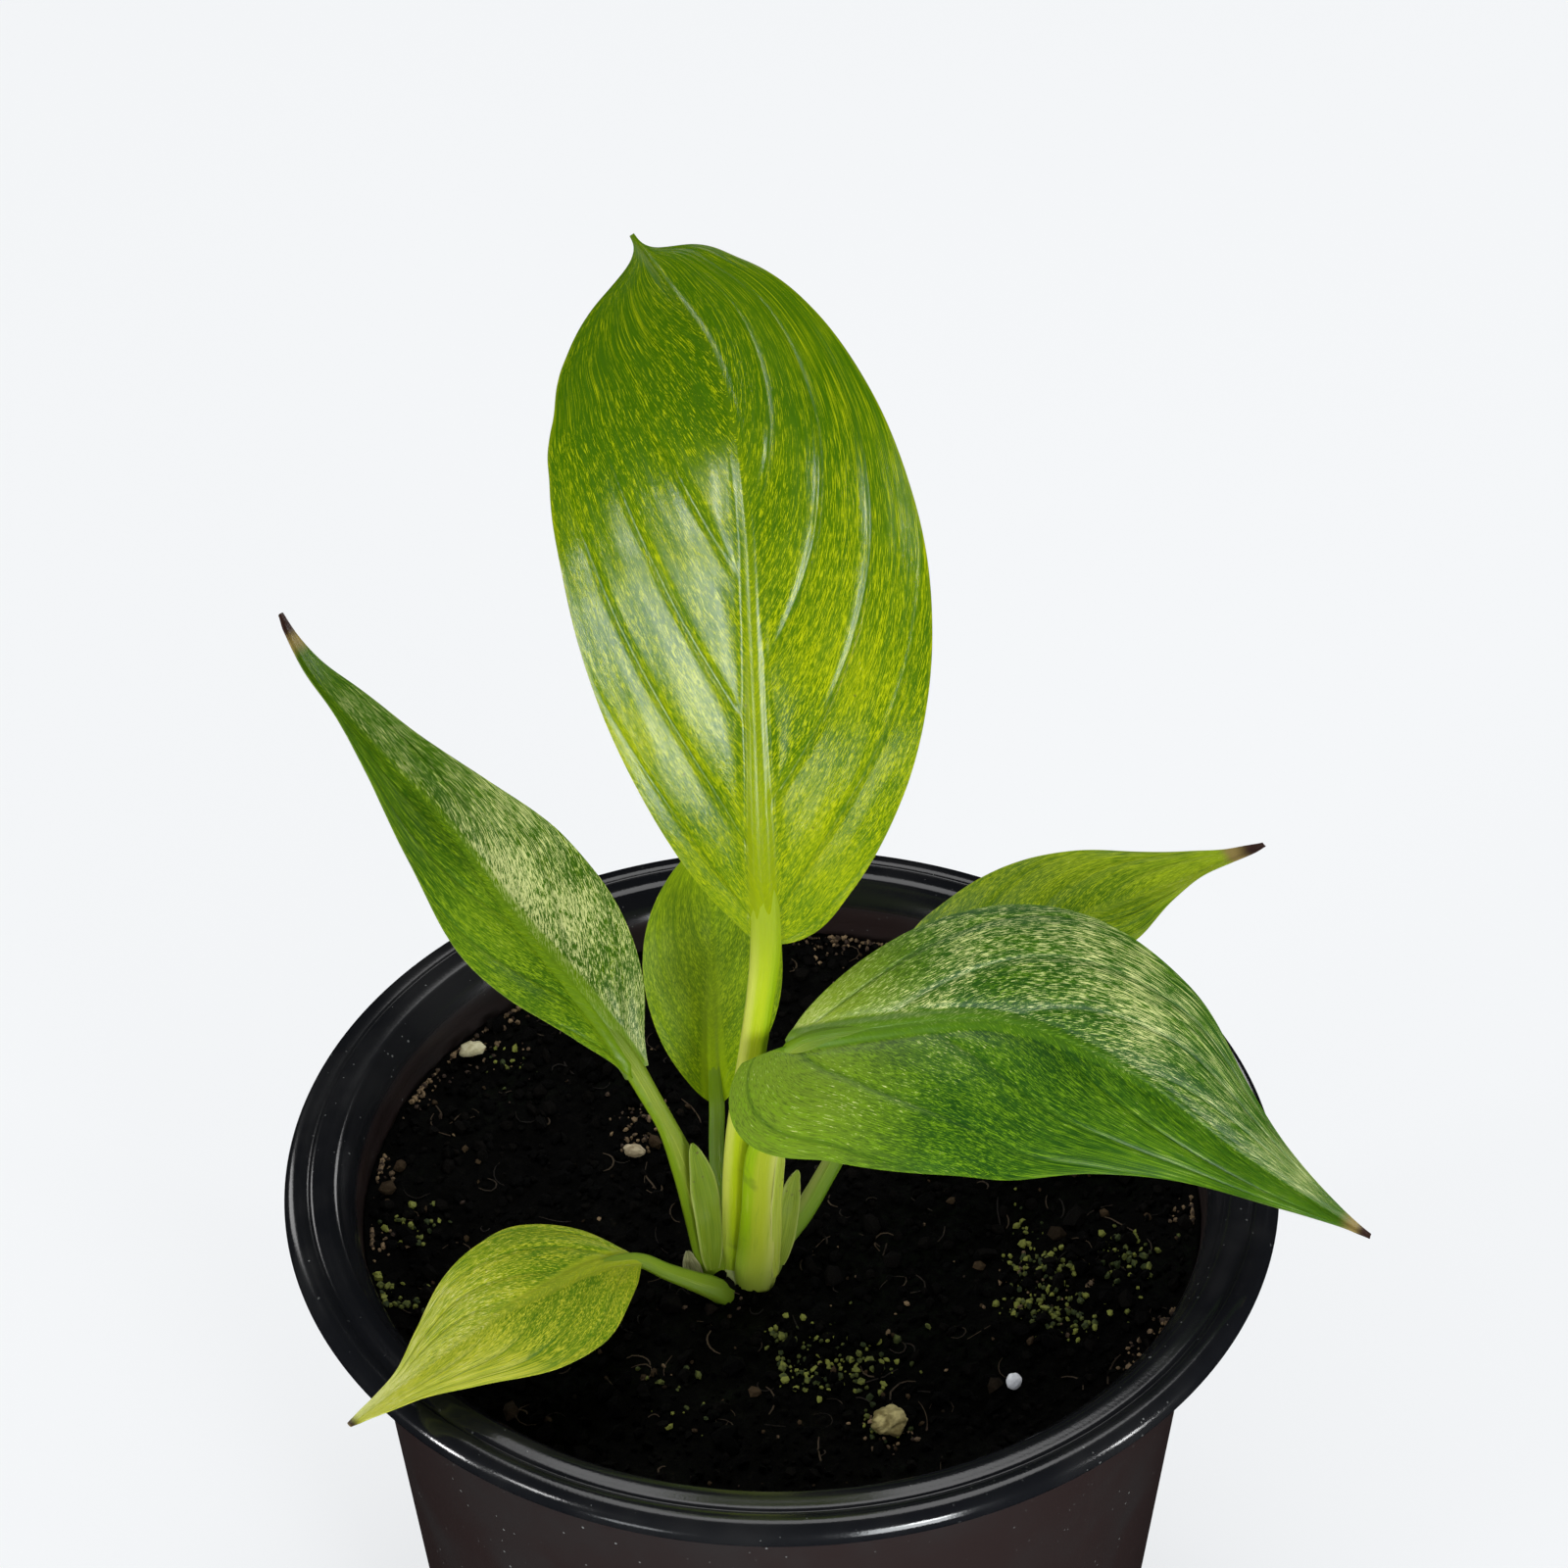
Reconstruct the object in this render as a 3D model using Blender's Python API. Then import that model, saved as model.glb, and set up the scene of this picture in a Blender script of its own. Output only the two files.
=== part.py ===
"""Young potted peace lily: six leaves on sheathed stalks, crown, potting soil and a round nursery pot.

Frame: the origin is the centre of the pot's flat base, +Z is up, +X is right and -Y faces the
viewer. Dimensions below are in millimetres; every object is built in metres.
"""

import math

import bmesh
import bpy
import numpy as np

MM = 0.001

# ---------------------------------------------------------------- driving dimensions, mm
POT_HEIGHT = 100.0
RIM_RADIUS = 65.0
RIM_DEPTH = 3.0
RIM_CREASE_RADIUS = 61.6
RIM_INNER_RADIUS = 58.6
WALL_TOP_RADIUS = 56.8
BASE_RADIUS = 48.0
WALL = 1.0
FLOOR = 1.6
SOIL_TOP = 91.0
GAP = 0.3
LATHE_STEPS = 48
CROWN_STEPS = 20

CROWN_CENTRE = (-5.2, -13.0)
CROWN_RADIUS = 5.6
CROWN_TOP = 92.0
CROWN_BOTTOM = 81.0

BLADE_THICKNESS = 0.7
MARGIN_THICKNESS = 0.35
STEPS_ALONG = 19
STEPS_ACROSS = 4

# Half-widths are given at these shares of a blade's length, from its base to its tip.
WIDTH_AT = (0.0, 0.04, 0.12, 0.25, 0.4, 0.55, 0.7, 0.82, 0.9, 0.96, 1.0)
# The facing direction and the folds are given at these shares.
TURN_AT = (0.0, 0.3, 0.65, 1.0)

# One entry for each blade. "midrib": points it passes through, base first. "face": the way the
# upper side looks. "left"/"right": half-widths. "fold": how far each half rises beside the midrib
# (left, right), in degrees; "edge": how far it rises at its margin. "swept": how far the base
# lobes (left, right) are swept back, in degrees, and over what share of the length.
BLADES = {
    "tall_centre": {
        "midrib": (
            (-1.5, -12.0, 146.1), (-1.9, -11.7, 160.0), (-2.2, -10.4, 174.5), (-2.6, -8.0, 190.5),
            (-3.2, -4.7, 204.5), (-4.4, -1.0, 213.8), (-7.2, 4.0, 221.3), (-11.8, 9.0, 226.1),
            (-15.7, 14.0, 229.6),
        ),
        "face": ((0, -1, 0.05), (0, -1, 0.15), (0.05, -1, 0.5), (-0.05, -1, 1.1)),
        "left": (1.0, 3.0, 7.5, 13.5, 18.5, 21.4, 21.8, 19.5, 15.0, 7.0, 0.4),
        "right": (0.6, 5.5, 11.0, 17.0, 20.5, 20.5, 16.8, 10.8, 6.6, 2.4, 0.4),
        "fold": ((8, 12, 8, 6), (8, 12, 8, 6)),
        "edge": ((12, 14, 4, 0), (12, 14, 4, 0)),
        "swept": (-35, -35, 0.10),
    },
    "left": {
        "midrib": (
            (-18.2, -9.0, 123.1), (-24.2, -6.0, 132.1), (-32.6, 0.0, 140.6), (-40.9, 5.0, 151.7),
            (-49.1, 9.0, 160.4), (-56.7, 13.0, 168.8), (-60.1, 14.0, 177.4),
        ),
        "face": ((0.6, -0.75, 0.6), (0.6, -0.7, 0.6), (0.6, -0.7, 0.6), (0.6, -0.7, 0.6)),
        "left": (1.4, 2.4, 5.5, 11.0, 12.2, 9.6, 3.8, 1.0, 0.9, 0.6, 0.35),
        "right": (1.8, 3.1, 7.1, 10.8, 10.8, 7.4, 4.7, 3.2, 1.6, 0.7, 0.35),
        "fold": ((25, 28, 24, 20), (22, 24, 20, 15)),
        "edge": ((20, 24, 20, 15), (14, 16, 12, 10)),
        "swept": (-20, -20, 0.08),
    },
    "rear": {
        "midrib": (
            (-8.3, 1.0, 108.5), (-8.6, 2.2, 115.1), (-8.5, 5.0, 125.8), (-8.4, 8.0, 133.1),
            (-8.0, 12.0, 137.9), (-7.1, 17.0, 141.1),
        ),
        "face": ((0, -1, 0.2), (0, -1, 0.2), (0, -1, 0.2), (0, -1, 0.2)),
        "left": (0.7, 2.0, 4.0, 6.6, 8.4, 9.0, 7.9, 5.6, 3.4, 1.6, 0.35),
        "right": (0.8, 2.0, 4.1, 6.8, 8.6, 9.0, 8.1, 6.2, 4.3, 2.2, 0.35),
        "fold": ((8, 10, 8, 6), (8, 10, 8, 6)),
        "edge": ((8, 10, 8, 6), (8, 10, 8, 6)),
        "swept": (-20, -20, 0.08),
    },
    "right_front": {
        "midrib": (
            (0.9, -15.5, 132.7), (12.1, -13.5, 133.5), (27.1, -12.0, 133.0), (43.3, -15.0, 126.9),
            (56.5, -19.0, 117.7), (74.0, -22.0, 105.3),
        ),
        "face": ((0.0, -0.55, 0.85), (0.0, -0.5, 0.85), (0.15, -0.45, 0.85), (0.2, -0.3, 0.9)),
        "left": (0.7, 3.6, 8.0, 13.2, 16.1, 13.2, 8.0, 3.9, 1.9, 0.8, 0.35),
        "right": (6.0, 14.6, 17.2, 19.8, 19.6, 14.2, 7.6, 4.3, 2.2, 0.9, 0.35),
        "fold": ((22, 26, 22, 15), (8, 10, 10, 10)),
        "edge": ((-4, -6, 4, 10), (-20, -18, -6, 0)),
        "swept": (-10, -80, 0.10),
    },
    "right_rear": {
        "midrib": (
            (17.4, 1.0, 120.6), (22.7, 6.0, 122.9), (31.2, 13.0, 123.7), (38.6, 19.0, 123.1),
            (46.2, 24.7, 122.2), (55.1, 31.0, 121.0), (60.3, 35.0, 120.3), (66.0, 39.0, 119.7),
        ),
        "face": ((-0.2, -0.35, 1), (-0.1, -0.35, 1), (0, -0.3, 1), (0, -0.3, 1)),
        "left": (0.8, 4.7, 8.9, 10.9, 11.4, 9.4, 6.2, 3.3, 1.5, 0.8, 0.35),
        "right": (0.8, 2.9, 6.2, 8.2, 8.4, 6.6, 2.8, 0.9, 0.7, 0.6, 0.35),
        "fold": ((12, 14, 12, 10), (12, 14, 12, 10)),
        "edge": ((0, 0, 4, 8), (0, 0, 4, 8)),
        "swept": (-30, -30, 0.08),
    },
    "low_front": {
        "midrib": (
            (-18.4, -17.4, 98.2), (-23.6, -21.4, 101.0), (-28.6, -26.8, 103.0), (-33.2, -31.6, 104.4),
            (-41.8, -40.8, 105.0), (-52.2, -50.8, 104.0),
        ),
        "face": ((0, -0.1, 1), (0, -0.1, 1), (0, -0.1, 1), (0, -0.1, 1)),
        "left": (0.6, 2.2, 5.8, 9.9, 13.1, 12.8, 7.2, 3.6, 2.2, 1.0, 0.35),
        "right": (0.6, 1.9, 6.0, 10.2, 9.9, 8.3, 4.8, 1.9, 1.1, 0.7, 0.35),
        "fold": ((10, 12, 10, 8), (10, 12, 10, 8)),
        "edge": ((4, 6, 6, 6), (4, 6, 6, 6)),
        "swept": (-35, -35, 0.08),
    },
}

# Stalks: points from the foot to just under the blade, each with its radius.
STALKS = {
    "tall_centre": (
        (-5.9, -13.2, 92.4, 1.5), (-5.8, -13.1, 103.6, 1.5), (-5.2, -12.9, 114.6, 1.5),
        (-3.3, -12.4, 129.6, 1.45), (-2.7, -12.2, 134.5, 1.45), (-1.8, -12.0, 140.5, 1.5),
        (-1.5, -12.0, 145.3, 1.3),
    ),
    "right_front": (
        (-2.6, -15.0, 92.5, 1.45), (-2.3, -15.1, 104.8, 1.35), (-1.6, -15.3, 113.5, 1.3),
        (0.0, -15.7, 125.4, 1.1), (0.9, -16.1, 131.4, 0.9),
    ),
    "left": (
        (-9.2, -12.9, 92.6, 1.3), (-10.4, -12.0, 100.1, 1.25), (-12.4, -11.0, 108.3, 1.2),
        (-14.5, -10.2, 114.8, 1.2), (-16.9, -9.5, 120.2, 1.25), (-17.9, -9.25, 122.3, 1.3),
    ),
    "right_rear": (
        (-0.9, -10.9, 92.3, 1.2), (2.8, -8.8, 97.3, 1.2), (6.2, -6.5, 103.5, 1.2),
        (11.8, -3.0, 113.3, 1.1), (17.0, 0.6, 119.9, 1.1),
    ),
    "rear": (
        (-7.2, -9.6, 92.4, 1.0), (-7.9, -7.0, 97.5, 1.0), (-8.4, -3.0, 103.3, 1.0),
        (-8.3, 0.7, 107.8, 1.0),
    ),
    "low_front": (
        (-8.4, -17.0, 92.7, 1.3), (-11.8, -17.6, 94.4, 1.2), (-14.9, -17.6, 96.2, 1.05),
        (-17.5, -17.3, 97.6, 1.0),
    ),
}
STALK_SIDES = 2  # bevel resolution of each stalk: 4 x (2 + 1) sides

# Sheath wings: thin edges of a stalk's base, built like small blades.
WINGS = {
    "left": {
        "midrib": ((-8.7, -14.8, 95.0), (-9.1, -13.7, 101.0), (-10.3, -12.7, 108.5), (-11.9, -12.0, 115.2)),
        "face": ((0.2, -1, 0.3),) * 4,
        "left": (0.5, 0.6, 0.7, 0.8, 0.8, 0.8, 0.8, 0.7, 0.6, 0.5, 0.3),
        "right": (0.5, 0.5, 0.6, 0.7, 0.9, 1.1, 1.3, 1.3, 1.1, 0.7, 0.3),
        "fold": ((4, 4, 4, 4), (4, 4, 4, 4)),
        "edge": ((10, 10, 10, 10), (-14, -14, -14, -14)),
        "swept": (0, 0, 0.1),
    },
    "centre": {
        "midrib": ((-0.9, -16.2, 94.0), (-0.6, -16.3, 102.0), (-0.1, -16.5, 110.0), (0.6, -16.8, 117.0)),
        "face": ((0.8, -1, 0.2),) * 4,
        "left": (0.4, 0.5, 0.7, 0.9, 1.0, 1.0, 0.9, 0.8, 0.7, 0.5, 0.3),
        "right": (0.4, 0.5, 0.6, 0.7, 0.8, 0.8, 0.8, 0.7, 0.6, 0.5, 0.3),
        "fold": ((0, 0, 0, 0), (0, 0, 0, 0)),
        "edge": ((-16, -16, -16, -16), (-16, -16, -16, -16)),
        "swept": (0, 0, 0.1),
    },
    "right_rear": {
        "midrib": ((0.3, -13.2, 94.0), (0.9, -12.2, 97.8), (1.3, -11.2, 101.6), (1.6, -10.6, 105.6)),
        "face": ((0.3, -1, 0.3),) * 4,
        "left": (0.4, 0.6, 0.8, 1.0, 1.1, 1.1, 1.1, 1.0, 0.8, 0.6, 0.3),
        "right": (0.4, 0.6, 0.7, 0.7, 0.7, 0.7, 0.7, 0.7, 0.6, 0.5, 0.3),
        "fold": ((4, 4, 4, 4), (4, 4, 4, 4)),
        "edge": ((10, 10, 10, 10), (10, 10, 10, 10)),
        "swept": (0, 0, 0.1),
    },
    "dry_scale": {
        "midrib": ((-11.2, -14.6, 92.8), (-11.8, -14.2, 94.2), (-12.2, -13.6, 95.6)),
        "face": ((0.2, -1, 0.4),) * 4,
        "left": (0.4, 0.7, 1.0, 1.2, 1.3, 1.2, 1.0, 0.8, 0.6, 0.4, 0.3),
        "right": (0.4, 0.6, 0.8, 1.0, 1.1, 1.1, 0.9, 0.7, 0.6, 0.4, 0.3),
        "fold": ((6, 6, 6, 6), (6, 6, 6, 6)),
        "edge": ((20, 20, 20, 20), (20, 20, 20, 20)),
        "swept": (0, 0, 0.1),
    },
}
WING_THICKNESS = 0.4

# Loose bits on the soil: centre x, y; half-sizes x, y, z; turn about Z in degrees.
BITS = {
    "perlite_bead": (28.8, -34.4, 1.0, 0.9, 1.2, 10),
    "bark_chip_left": (-42.7, 29.9, 1.9, 1.3, 0.9, 25),
    "bark_chip_middle": (-19.7, 9.0, 1.5, 1.0, 0.8, -20),
    "fibre_clump_front": (12.8, -41.0, 2.6, 2.0, 1.3, 35),
}


# ---------------------------------------------------------------- smooth curves
def through(stations, values, t):
    """Smooth cubic curve through the values at the stations, read at t."""
    stations = np.asarray(stations, float)
    values = np.asarray(values, float)
    flat = values.ndim == 1
    if flat:
        values = values[:, None]
    t = np.clip(np.asarray(t, float), stations[0], stations[-1])
    gap = np.diff(stations)[:, None]
    slope = np.diff(values, axis=0) / gap
    lean = np.zeros_like(values)
    lean[1:-1] = (slope[:-1] * gap[1:] + slope[1:] * gap[:-1]) / (gap[1:] + gap[:-1])
    lean[0] = (3 * slope[0] - lean[1]) / 2
    lean[-1] = (3 * slope[-1] - lean[-2]) / 2
    i = np.clip(np.searchsorted(stations, t, side="right") - 1, 0, len(stations) - 2)
    h = gap[i, 0][..., None]
    u = (t - stations[i])[..., None] / h
    out = (
        (2 * u**3 - 3 * u**2 + 1) * values[i]
        + (u**3 - 2 * u**2 + u) * h * lean[i]
        + (-2 * u**3 + 3 * u**2) * values[i + 1]
        + (u**3 - u**2) * h * lean[i + 1]
    )
    return out[..., 0] if flat else out


def midrib_at(points, t):
    """Position and unit direction at the share t of a midrib's length."""
    points = np.asarray(points, float)
    chord = np.concatenate(([0.0], np.cumsum(np.linalg.norm(np.diff(points, axis=0), axis=1))))
    fine = through(chord, points, np.linspace(0, chord[-1], 600))
    share = np.concatenate(([0.0], np.cumsum(np.linalg.norm(np.diff(fine, axis=0), axis=1))))
    share = share / share[-1]

    def at(u):
        u = np.clip(u, 0, 1)
        return np.stack([np.interp(u, share, fine[:, k]) for k in range(3)], -1)

    along = at(t + 0.01) - at(t - 0.01)
    return at(t), along / np.linalg.norm(along, axis=-1, keepdims=True)


def blade_point(blade, t, s):
    """Point of a blade's middle surface: t from base to tip, s from left margin to right margin."""
    t = np.asarray(t, float)
    s = np.asarray(s, float)
    centre, along = midrib_at(blade["midrib"], t)
    face = through(TURN_AT, blade["face"], t)
    up = face - (face * along).sum(-1, keepdims=True) * along
    up = up / np.linalg.norm(up, axis=-1, keepdims=True)
    side = np.cross(along, up)
    is_left = s < 0
    width = np.where(is_left, through(WIDTH_AT, blade["left"], t), through(WIDTH_AT, blade["right"], t))
    fold = np.where(is_left, through(TURN_AT, blade["fold"][0], t), through(TURN_AT, blade["fold"][1], t))
    edge = np.where(is_left, through(TURN_AT, blade["edge"][0], t), through(TURN_AT, blade["edge"][1], t))
    back_left, back_right, reach = blade["swept"]
    swept = np.radians(np.where(is_left, back_left, back_right) * np.exp(-t / reach))
    slices = (np.arange(24) + 0.5) / 24
    out_to = np.abs(s)[..., None] * slices
    rise = np.radians(fold[..., None] + (edge - fold)[..., None] * out_to**1.3)
    across = np.cos(rise).mean(-1) * np.abs(s) * width
    lift = np.sin(rise).mean(-1) * np.abs(s) * width
    turn = np.where(is_left, -1.0, 1.0)
    point = centre + side * (turn * across * np.cos(swept))[..., None]
    return point + along * (across * np.sin(swept))[..., None] + up * lift[..., None]


# ---------------------------------------------------------------- Blender helpers
def clear_scene():
    for obj in list(bpy.data.objects):
        bpy.data.objects.remove(obj, do_unlink=True)


def material(name, colour, roughness):
    made = bpy.data.materials.new(name)
    made.use_nodes = True
    shader = made.node_tree.nodes["Principled BSDF"]
    shader.inputs["Base Color"].default_value = (*colour, 1.0)
    shader.inputs["Roughness"].default_value = roughness
    made.diffuse_color = (*colour, 1.0)
    return made


def add_mesh(name, points_mm, faces, look):
    mesh = bpy.data.meshes.new(name)
    mesh.from_pydata((np.asarray(points_mm, float) * MM).tolist(), [], faces)
    mesh.update()
    obj = bpy.data.objects.new(name, mesh)
    bpy.context.scene.collection.objects.link(obj)
    mesh.materials.append(look)
    return obj


def face_outward(obj):
    """Turn every face of one closed mesh to the outside."""
    work = bmesh.new()
    work.from_mesh(obj.data)
    bmesh.ops.recalc_face_normals(work, faces=work.faces)
    if work.calc_volume(signed=True) < 0:
        bmesh.ops.reverse_faces(work, faces=work.faces)
    work.to_mesh(obj.data)
    work.free()
    return obj


def lathe(name, profile_mm, look, steps, centre=(0.0, 0.0)):
    """Turn a profile of (radius, height) pairs that starts and ends on the axis."""
    points = [(r, 0.0, z) for r, z in profile_mm]
    edges = [(i, i + 1) for i in range(len(points) - 1)]
    mesh = bpy.data.meshes.new(name)
    mesh.from_pydata((np.asarray(points) * MM).tolist(), edges, [])
    obj = bpy.data.objects.new(name, mesh)
    bpy.context.scene.collection.objects.link(obj)
    turn = obj.modifiers.new("turn", "SCREW")
    turn.steps = steps
    turn.render_steps = steps
    turn.use_merge_vertices = True
    turn.merge_threshold = 0.00002
    turn.use_smooth_shade = False
    obj.location = (centre[0] * MM, centre[1] * MM, 0.0)
    mesh.materials.append(look)
    return obj


def sheet_body(name, blade, steps, across, thick_mid, thick_edge, look):
    """Closed thin body round a blade's middle surface, thickest along the midrib."""
    ends = 0.5 - 0.5 * np.cos(np.linspace(0, math.pi, steps))
    t_line = 0.35 * ends + 0.65 * np.linspace(0, 1, steps)
    half = np.linspace(0, 1, across + 1)
    s_line = np.concatenate((-half[:0:-1], half))
    t, s = np.meshgrid(t_line, s_line, indexing="ij")
    step = 0.004
    middle = blade_point(blade, t, s)
    d_t = blade_point(blade, np.minimum(t + step, 1), s) - blade_point(blade, np.maximum(t - step, 0), s)
    d_s = blade_point(blade, t, np.clip(s + 0.05, -1, 1)) - blade_point(blade, t, np.clip(s - 0.05, -1, 1))
    normal = np.cross(d_t, d_s)
    normal = normal / np.maximum(np.linalg.norm(normal, axis=-1, keepdims=True), 1e-9)
    thick = thick_edge + (thick_mid - thick_edge) * (1 - np.abs(s)) ** 1.5
    top = middle + normal * (thick / 2)[..., None]
    under = middle - normal * (thick / 2)[..., None]
    rings = np.concatenate((top, under[:, ::-1]), axis=1)
    count = rings.shape[1]
    points = rings.reshape(-1, 3)
    faces = []
    for i in range(steps - 1):
        for j in range(count):
            k = (j + 1) % count
            faces.append((i * count + j, i * count + k, (i + 1) * count + k, (i + 1) * count + j))
    n = len(s_line)
    for row in (0, steps - 1):
        base = row * count
        for j in range(n - 1):
            faces.append((base + j, base + j + 1, base + count - 2 - j, base + count - 1 - j))
    return face_outward(add_mesh(name, points, faces, look))


def stalk(name, stations, look):
    """Round tapering stalk: a bevelled curve whose caps are filled."""
    stations = np.asarray(stations, float)
    chord = np.concatenate(([0.0], np.cumsum(np.linalg.norm(np.diff(stations[:, :3], axis=0), axis=1))))
    steps = 4 + 2 * len(stations)
    smooth = through(chord, stations, np.linspace(0, chord[-1], steps))
    curve = bpy.data.curves.new(name, "CURVE")
    curve.dimensions = "3D"
    curve.bevel_depth = MM
    curve.bevel_resolution = STALK_SIDES
    curve.use_fill_caps = True
    line = curve.splines.new("POLY")
    line.points.add(steps - 1)
    for point, (x, y, z, radius) in zip(line.points, smooth):
        point.co = (x * MM, y * MM, z * MM, 1.0)
        point.radius = radius
    obj = bpy.data.objects.new(name, curve)
    bpy.context.scene.collection.objects.link(obj)
    curve.materials.append(look)
    return obj


def bit(name, place, look):
    """Small rounded lump resting on the soil."""
    x, y, half_x, half_y, half_z, turn = place
    work = bmesh.new()
    bmesh.ops.create_icosphere(work, subdivisions=2, radius=1.0)
    angle = math.radians(turn)
    for vert in work.verts:
        px, py, pz = vert.co
        lump = 1 + 0.12 * math.sin(3.1 * px + 2 * py) * math.cos(2.3 * pz + px)
        qx = px * half_x * lump
        qy = py * half_y * lump
        vert.co.x = (x + qx * math.cos(angle) - qy * math.sin(angle)) * MM
        vert.co.y = (y + qx * math.sin(angle) + qy * math.cos(angle)) * MM
        vert.co.z = (SOIL_TOP + soil_height(x, y) + 0.45 + half_z * 1.12 + pz * half_z * lump) * MM
    mesh = bpy.data.meshes.new(name)
    work.to_mesh(mesh)
    work.free()
    obj = bpy.data.objects.new(name, mesh)
    bpy.context.scene.collection.objects.link(obj)
    mesh.materials.append(look)
    return face_outward(obj)


def soil_height(x, y):
    """Gentle unevenness of the soil's top, mm above SOIL_TOP."""
    wave = 0.45 * np.sin(0.11 * x + 0.8) * np.cos(0.13 * y) + 0.25 * np.sin(0.23 * x - 0.19 * y + 2.0)
    reach = np.sqrt(x * x + y * y) / WALL_TOP_RADIUS
    return wave * np.clip(1.2 - reach, 0, 1)


def inner_radius(z):
    """Radius of the pot's inner wall at the height z."""
    return BASE_RADIUS + (WALL_TOP_RADIUS - BASE_RADIUS) * z / (POT_HEIGHT - RIM_DEPTH) - WALL


# ---------------------------------------------------------------- the pieces
def build_pot():
    top = POT_HEIGHT
    under = POT_HEIGHT - RIM_DEPTH
    profile = [
        (0.0, FLOOR),
        (inner_radius(FLOOR) - 1.5, FLOOR),
        (inner_radius(FLOOR + 1.5), FLOOR + 1.5),
        (inner_radius(under - 3.0), under - 3.0),
        (inner_radius(under) + 0.9, under + 0.6),
        (RIM_INNER_RADIUS - 0.9, top - 0.9),
        (RIM_INNER_RADIUS, top - 0.15),
        (RIM_INNER_RADIUS + 0.7, top - 0.05),
        (RIM_CREASE_RADIUS - 0.5, top - 0.1),
        (RIM_CREASE_RADIUS, top - 0.35),
        (RIM_CREASE_RADIUS + 0.5, top - 0.1),
        (RIM_CREASE_RADIUS + 1.4, top),
        (RIM_RADIUS - 0.8, top - 0.5),
        (RIM_RADIUS - 0.1, top - 1.4),
        (RIM_RADIUS, top - 2.1),
        (RIM_RADIUS - 0.3, under),
        (RIM_RADIUS - 1.2, under - 0.2),
        (WALL_TOP_RADIUS + 1.5, under - 0.3),
        (WALL_TOP_RADIUS, under - 1.2),
        (BASE_RADIUS + 0.3, 1.6),
        (BASE_RADIUS - 0.9, 0.0),
        (0.0, 0.0),
    ]
    return lathe("pot", profile, material("black_polypropylene", (0.02, 0.02, 0.023), 0.35), LATHE_STEPS)


def build_crown(look, grow=0.0, name="crown"):
    middle = (CROWN_TOP + CROWN_BOTTOM) / 2
    half = (CROWN_TOP - CROWN_BOTTOM) / 2 + grow
    radius = CROWN_RADIUS + grow
    angles = np.linspace(math.pi / 2, -math.pi / 2, 9)
    profile = [(radius * abs(math.cos(a)) ** 0.8, middle + half * math.sin(a)) for a in angles]
    profile[0] = (0.0, middle + half)
    profile[-1] = (0.0, middle - half)
    return lathe(name, profile, look, CROWN_STEPS, CROWN_CENTRE)


def build_soil(pocket):
    """Soil filling the pot to SOIL_TOP, with a pocket where the crown sits."""
    sides = LATHE_STEPS
    rings = np.linspace(1 / 6, 1.0, 6)
    top_radius = inner_radius(SOIL_TOP) - GAP
    low = FLOOR + GAP
    points = [(0.0, 0.0, SOIL_TOP + float(soil_height(0.0, 0.0)))]
    angles = np.linspace(0, 2 * math.pi, sides, endpoint=False)
    for share in rings:
        for a in angles:
            x = top_radius * share * math.cos(a)
            y = top_radius * share * math.sin(a)
            points.append((x, y, SOIL_TOP + float(soil_height(x, y))))
    for radius, z in ((inner_radius(low + 1.8) - GAP, low + 1.8), (inner_radius(low) - GAP - 1.8, low)):
        for a in angles:
            points.append((radius * math.cos(a), radius * math.sin(a), z))
    faces = [(0, 1 + j, 1 + (j + 1) % sides) for j in range(sides)]
    for i in range(len(rings) + 1):
        for j in range(sides):
            k = (j + 1) % sides
            a = 1 + i * sides
            faces.append((a + j, a + sides + j, a + sides + k, a + k))
    last = 1 + (len(rings) + 1) * sides
    faces.append(tuple(last + j for j in range(sides)))
    soil = face_outward(add_mesh("potting_soil", points, faces, material("peat_soil", (0.02, 0.017, 0.013), 0.95)))
    cut = soil.modifiers.new("crown pocket", "BOOLEAN")
    cut.operation = "DIFFERENCE"
    cut.solver = "EXACT"
    cut.object = pocket
    return soil


def main():
    clear_scene()
    build_pot()
    build_crown(material("crown_tissue", (0.16, 0.2, 0.06), 0.6))
    cutter = build_crown(material("cutter", (1, 0, 0), 1.0), grow=GAP, name="crown_cutter")
    cutter.hide_render = True
    cutter.display_type = "WIRE"
    build_soil(cutter)
    colours = {
        "tall_centre": (0.24, 0.38, 0.03), "left": (0.12, 0.24, 0.04), "rear": (0.13, 0.2, 0.06),
        "right_front": (0.09, 0.26, 0.03), "right_rear": (0.2, 0.36, 0.05), "low_front": (0.36, 0.4, 0.08),
    }
    for key, blade in BLADES.items():
        look = material("leaf_" + key, colours[key], 0.35)
        sheet_body("blade_" + key, blade, STEPS_ALONG, STEPS_ACROSS, BLADE_THICKNESS, MARGIN_THICKNESS, look)
    for key, stations in STALKS.items():
        stalk("stalk_" + key, stations, material("stalk_" + key, (0.3, 0.42, 0.1), 0.4))
    for key, wing in WINGS.items():
        name = key if key == "dry_scale" else "sheath_" + key
        look = material(name, (0.5, 0.5, 0.3) if key == "dry_scale" else (0.42, 0.5, 0.2), 0.5)
        sheet_body(name, wing, 10, 2, WING_THICKNESS, WING_THICKNESS * 0.8, look)
    bit_looks = {
        "perlite_bead": ("perlite", (0.75, 0.76, 0.78)), "bark_chip_left": ("bark_pale", (0.5, 0.45, 0.28)),
        "bark_chip_middle": ("bark_tan", (0.4, 0.33, 0.2)), "fibre_clump_front": ("fibre", (0.32, 0.27, 0.1)),
    }
    for key, place in BITS.items():
        bit(key, place, material(*bit_looks[key], 0.9))


main()
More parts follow.
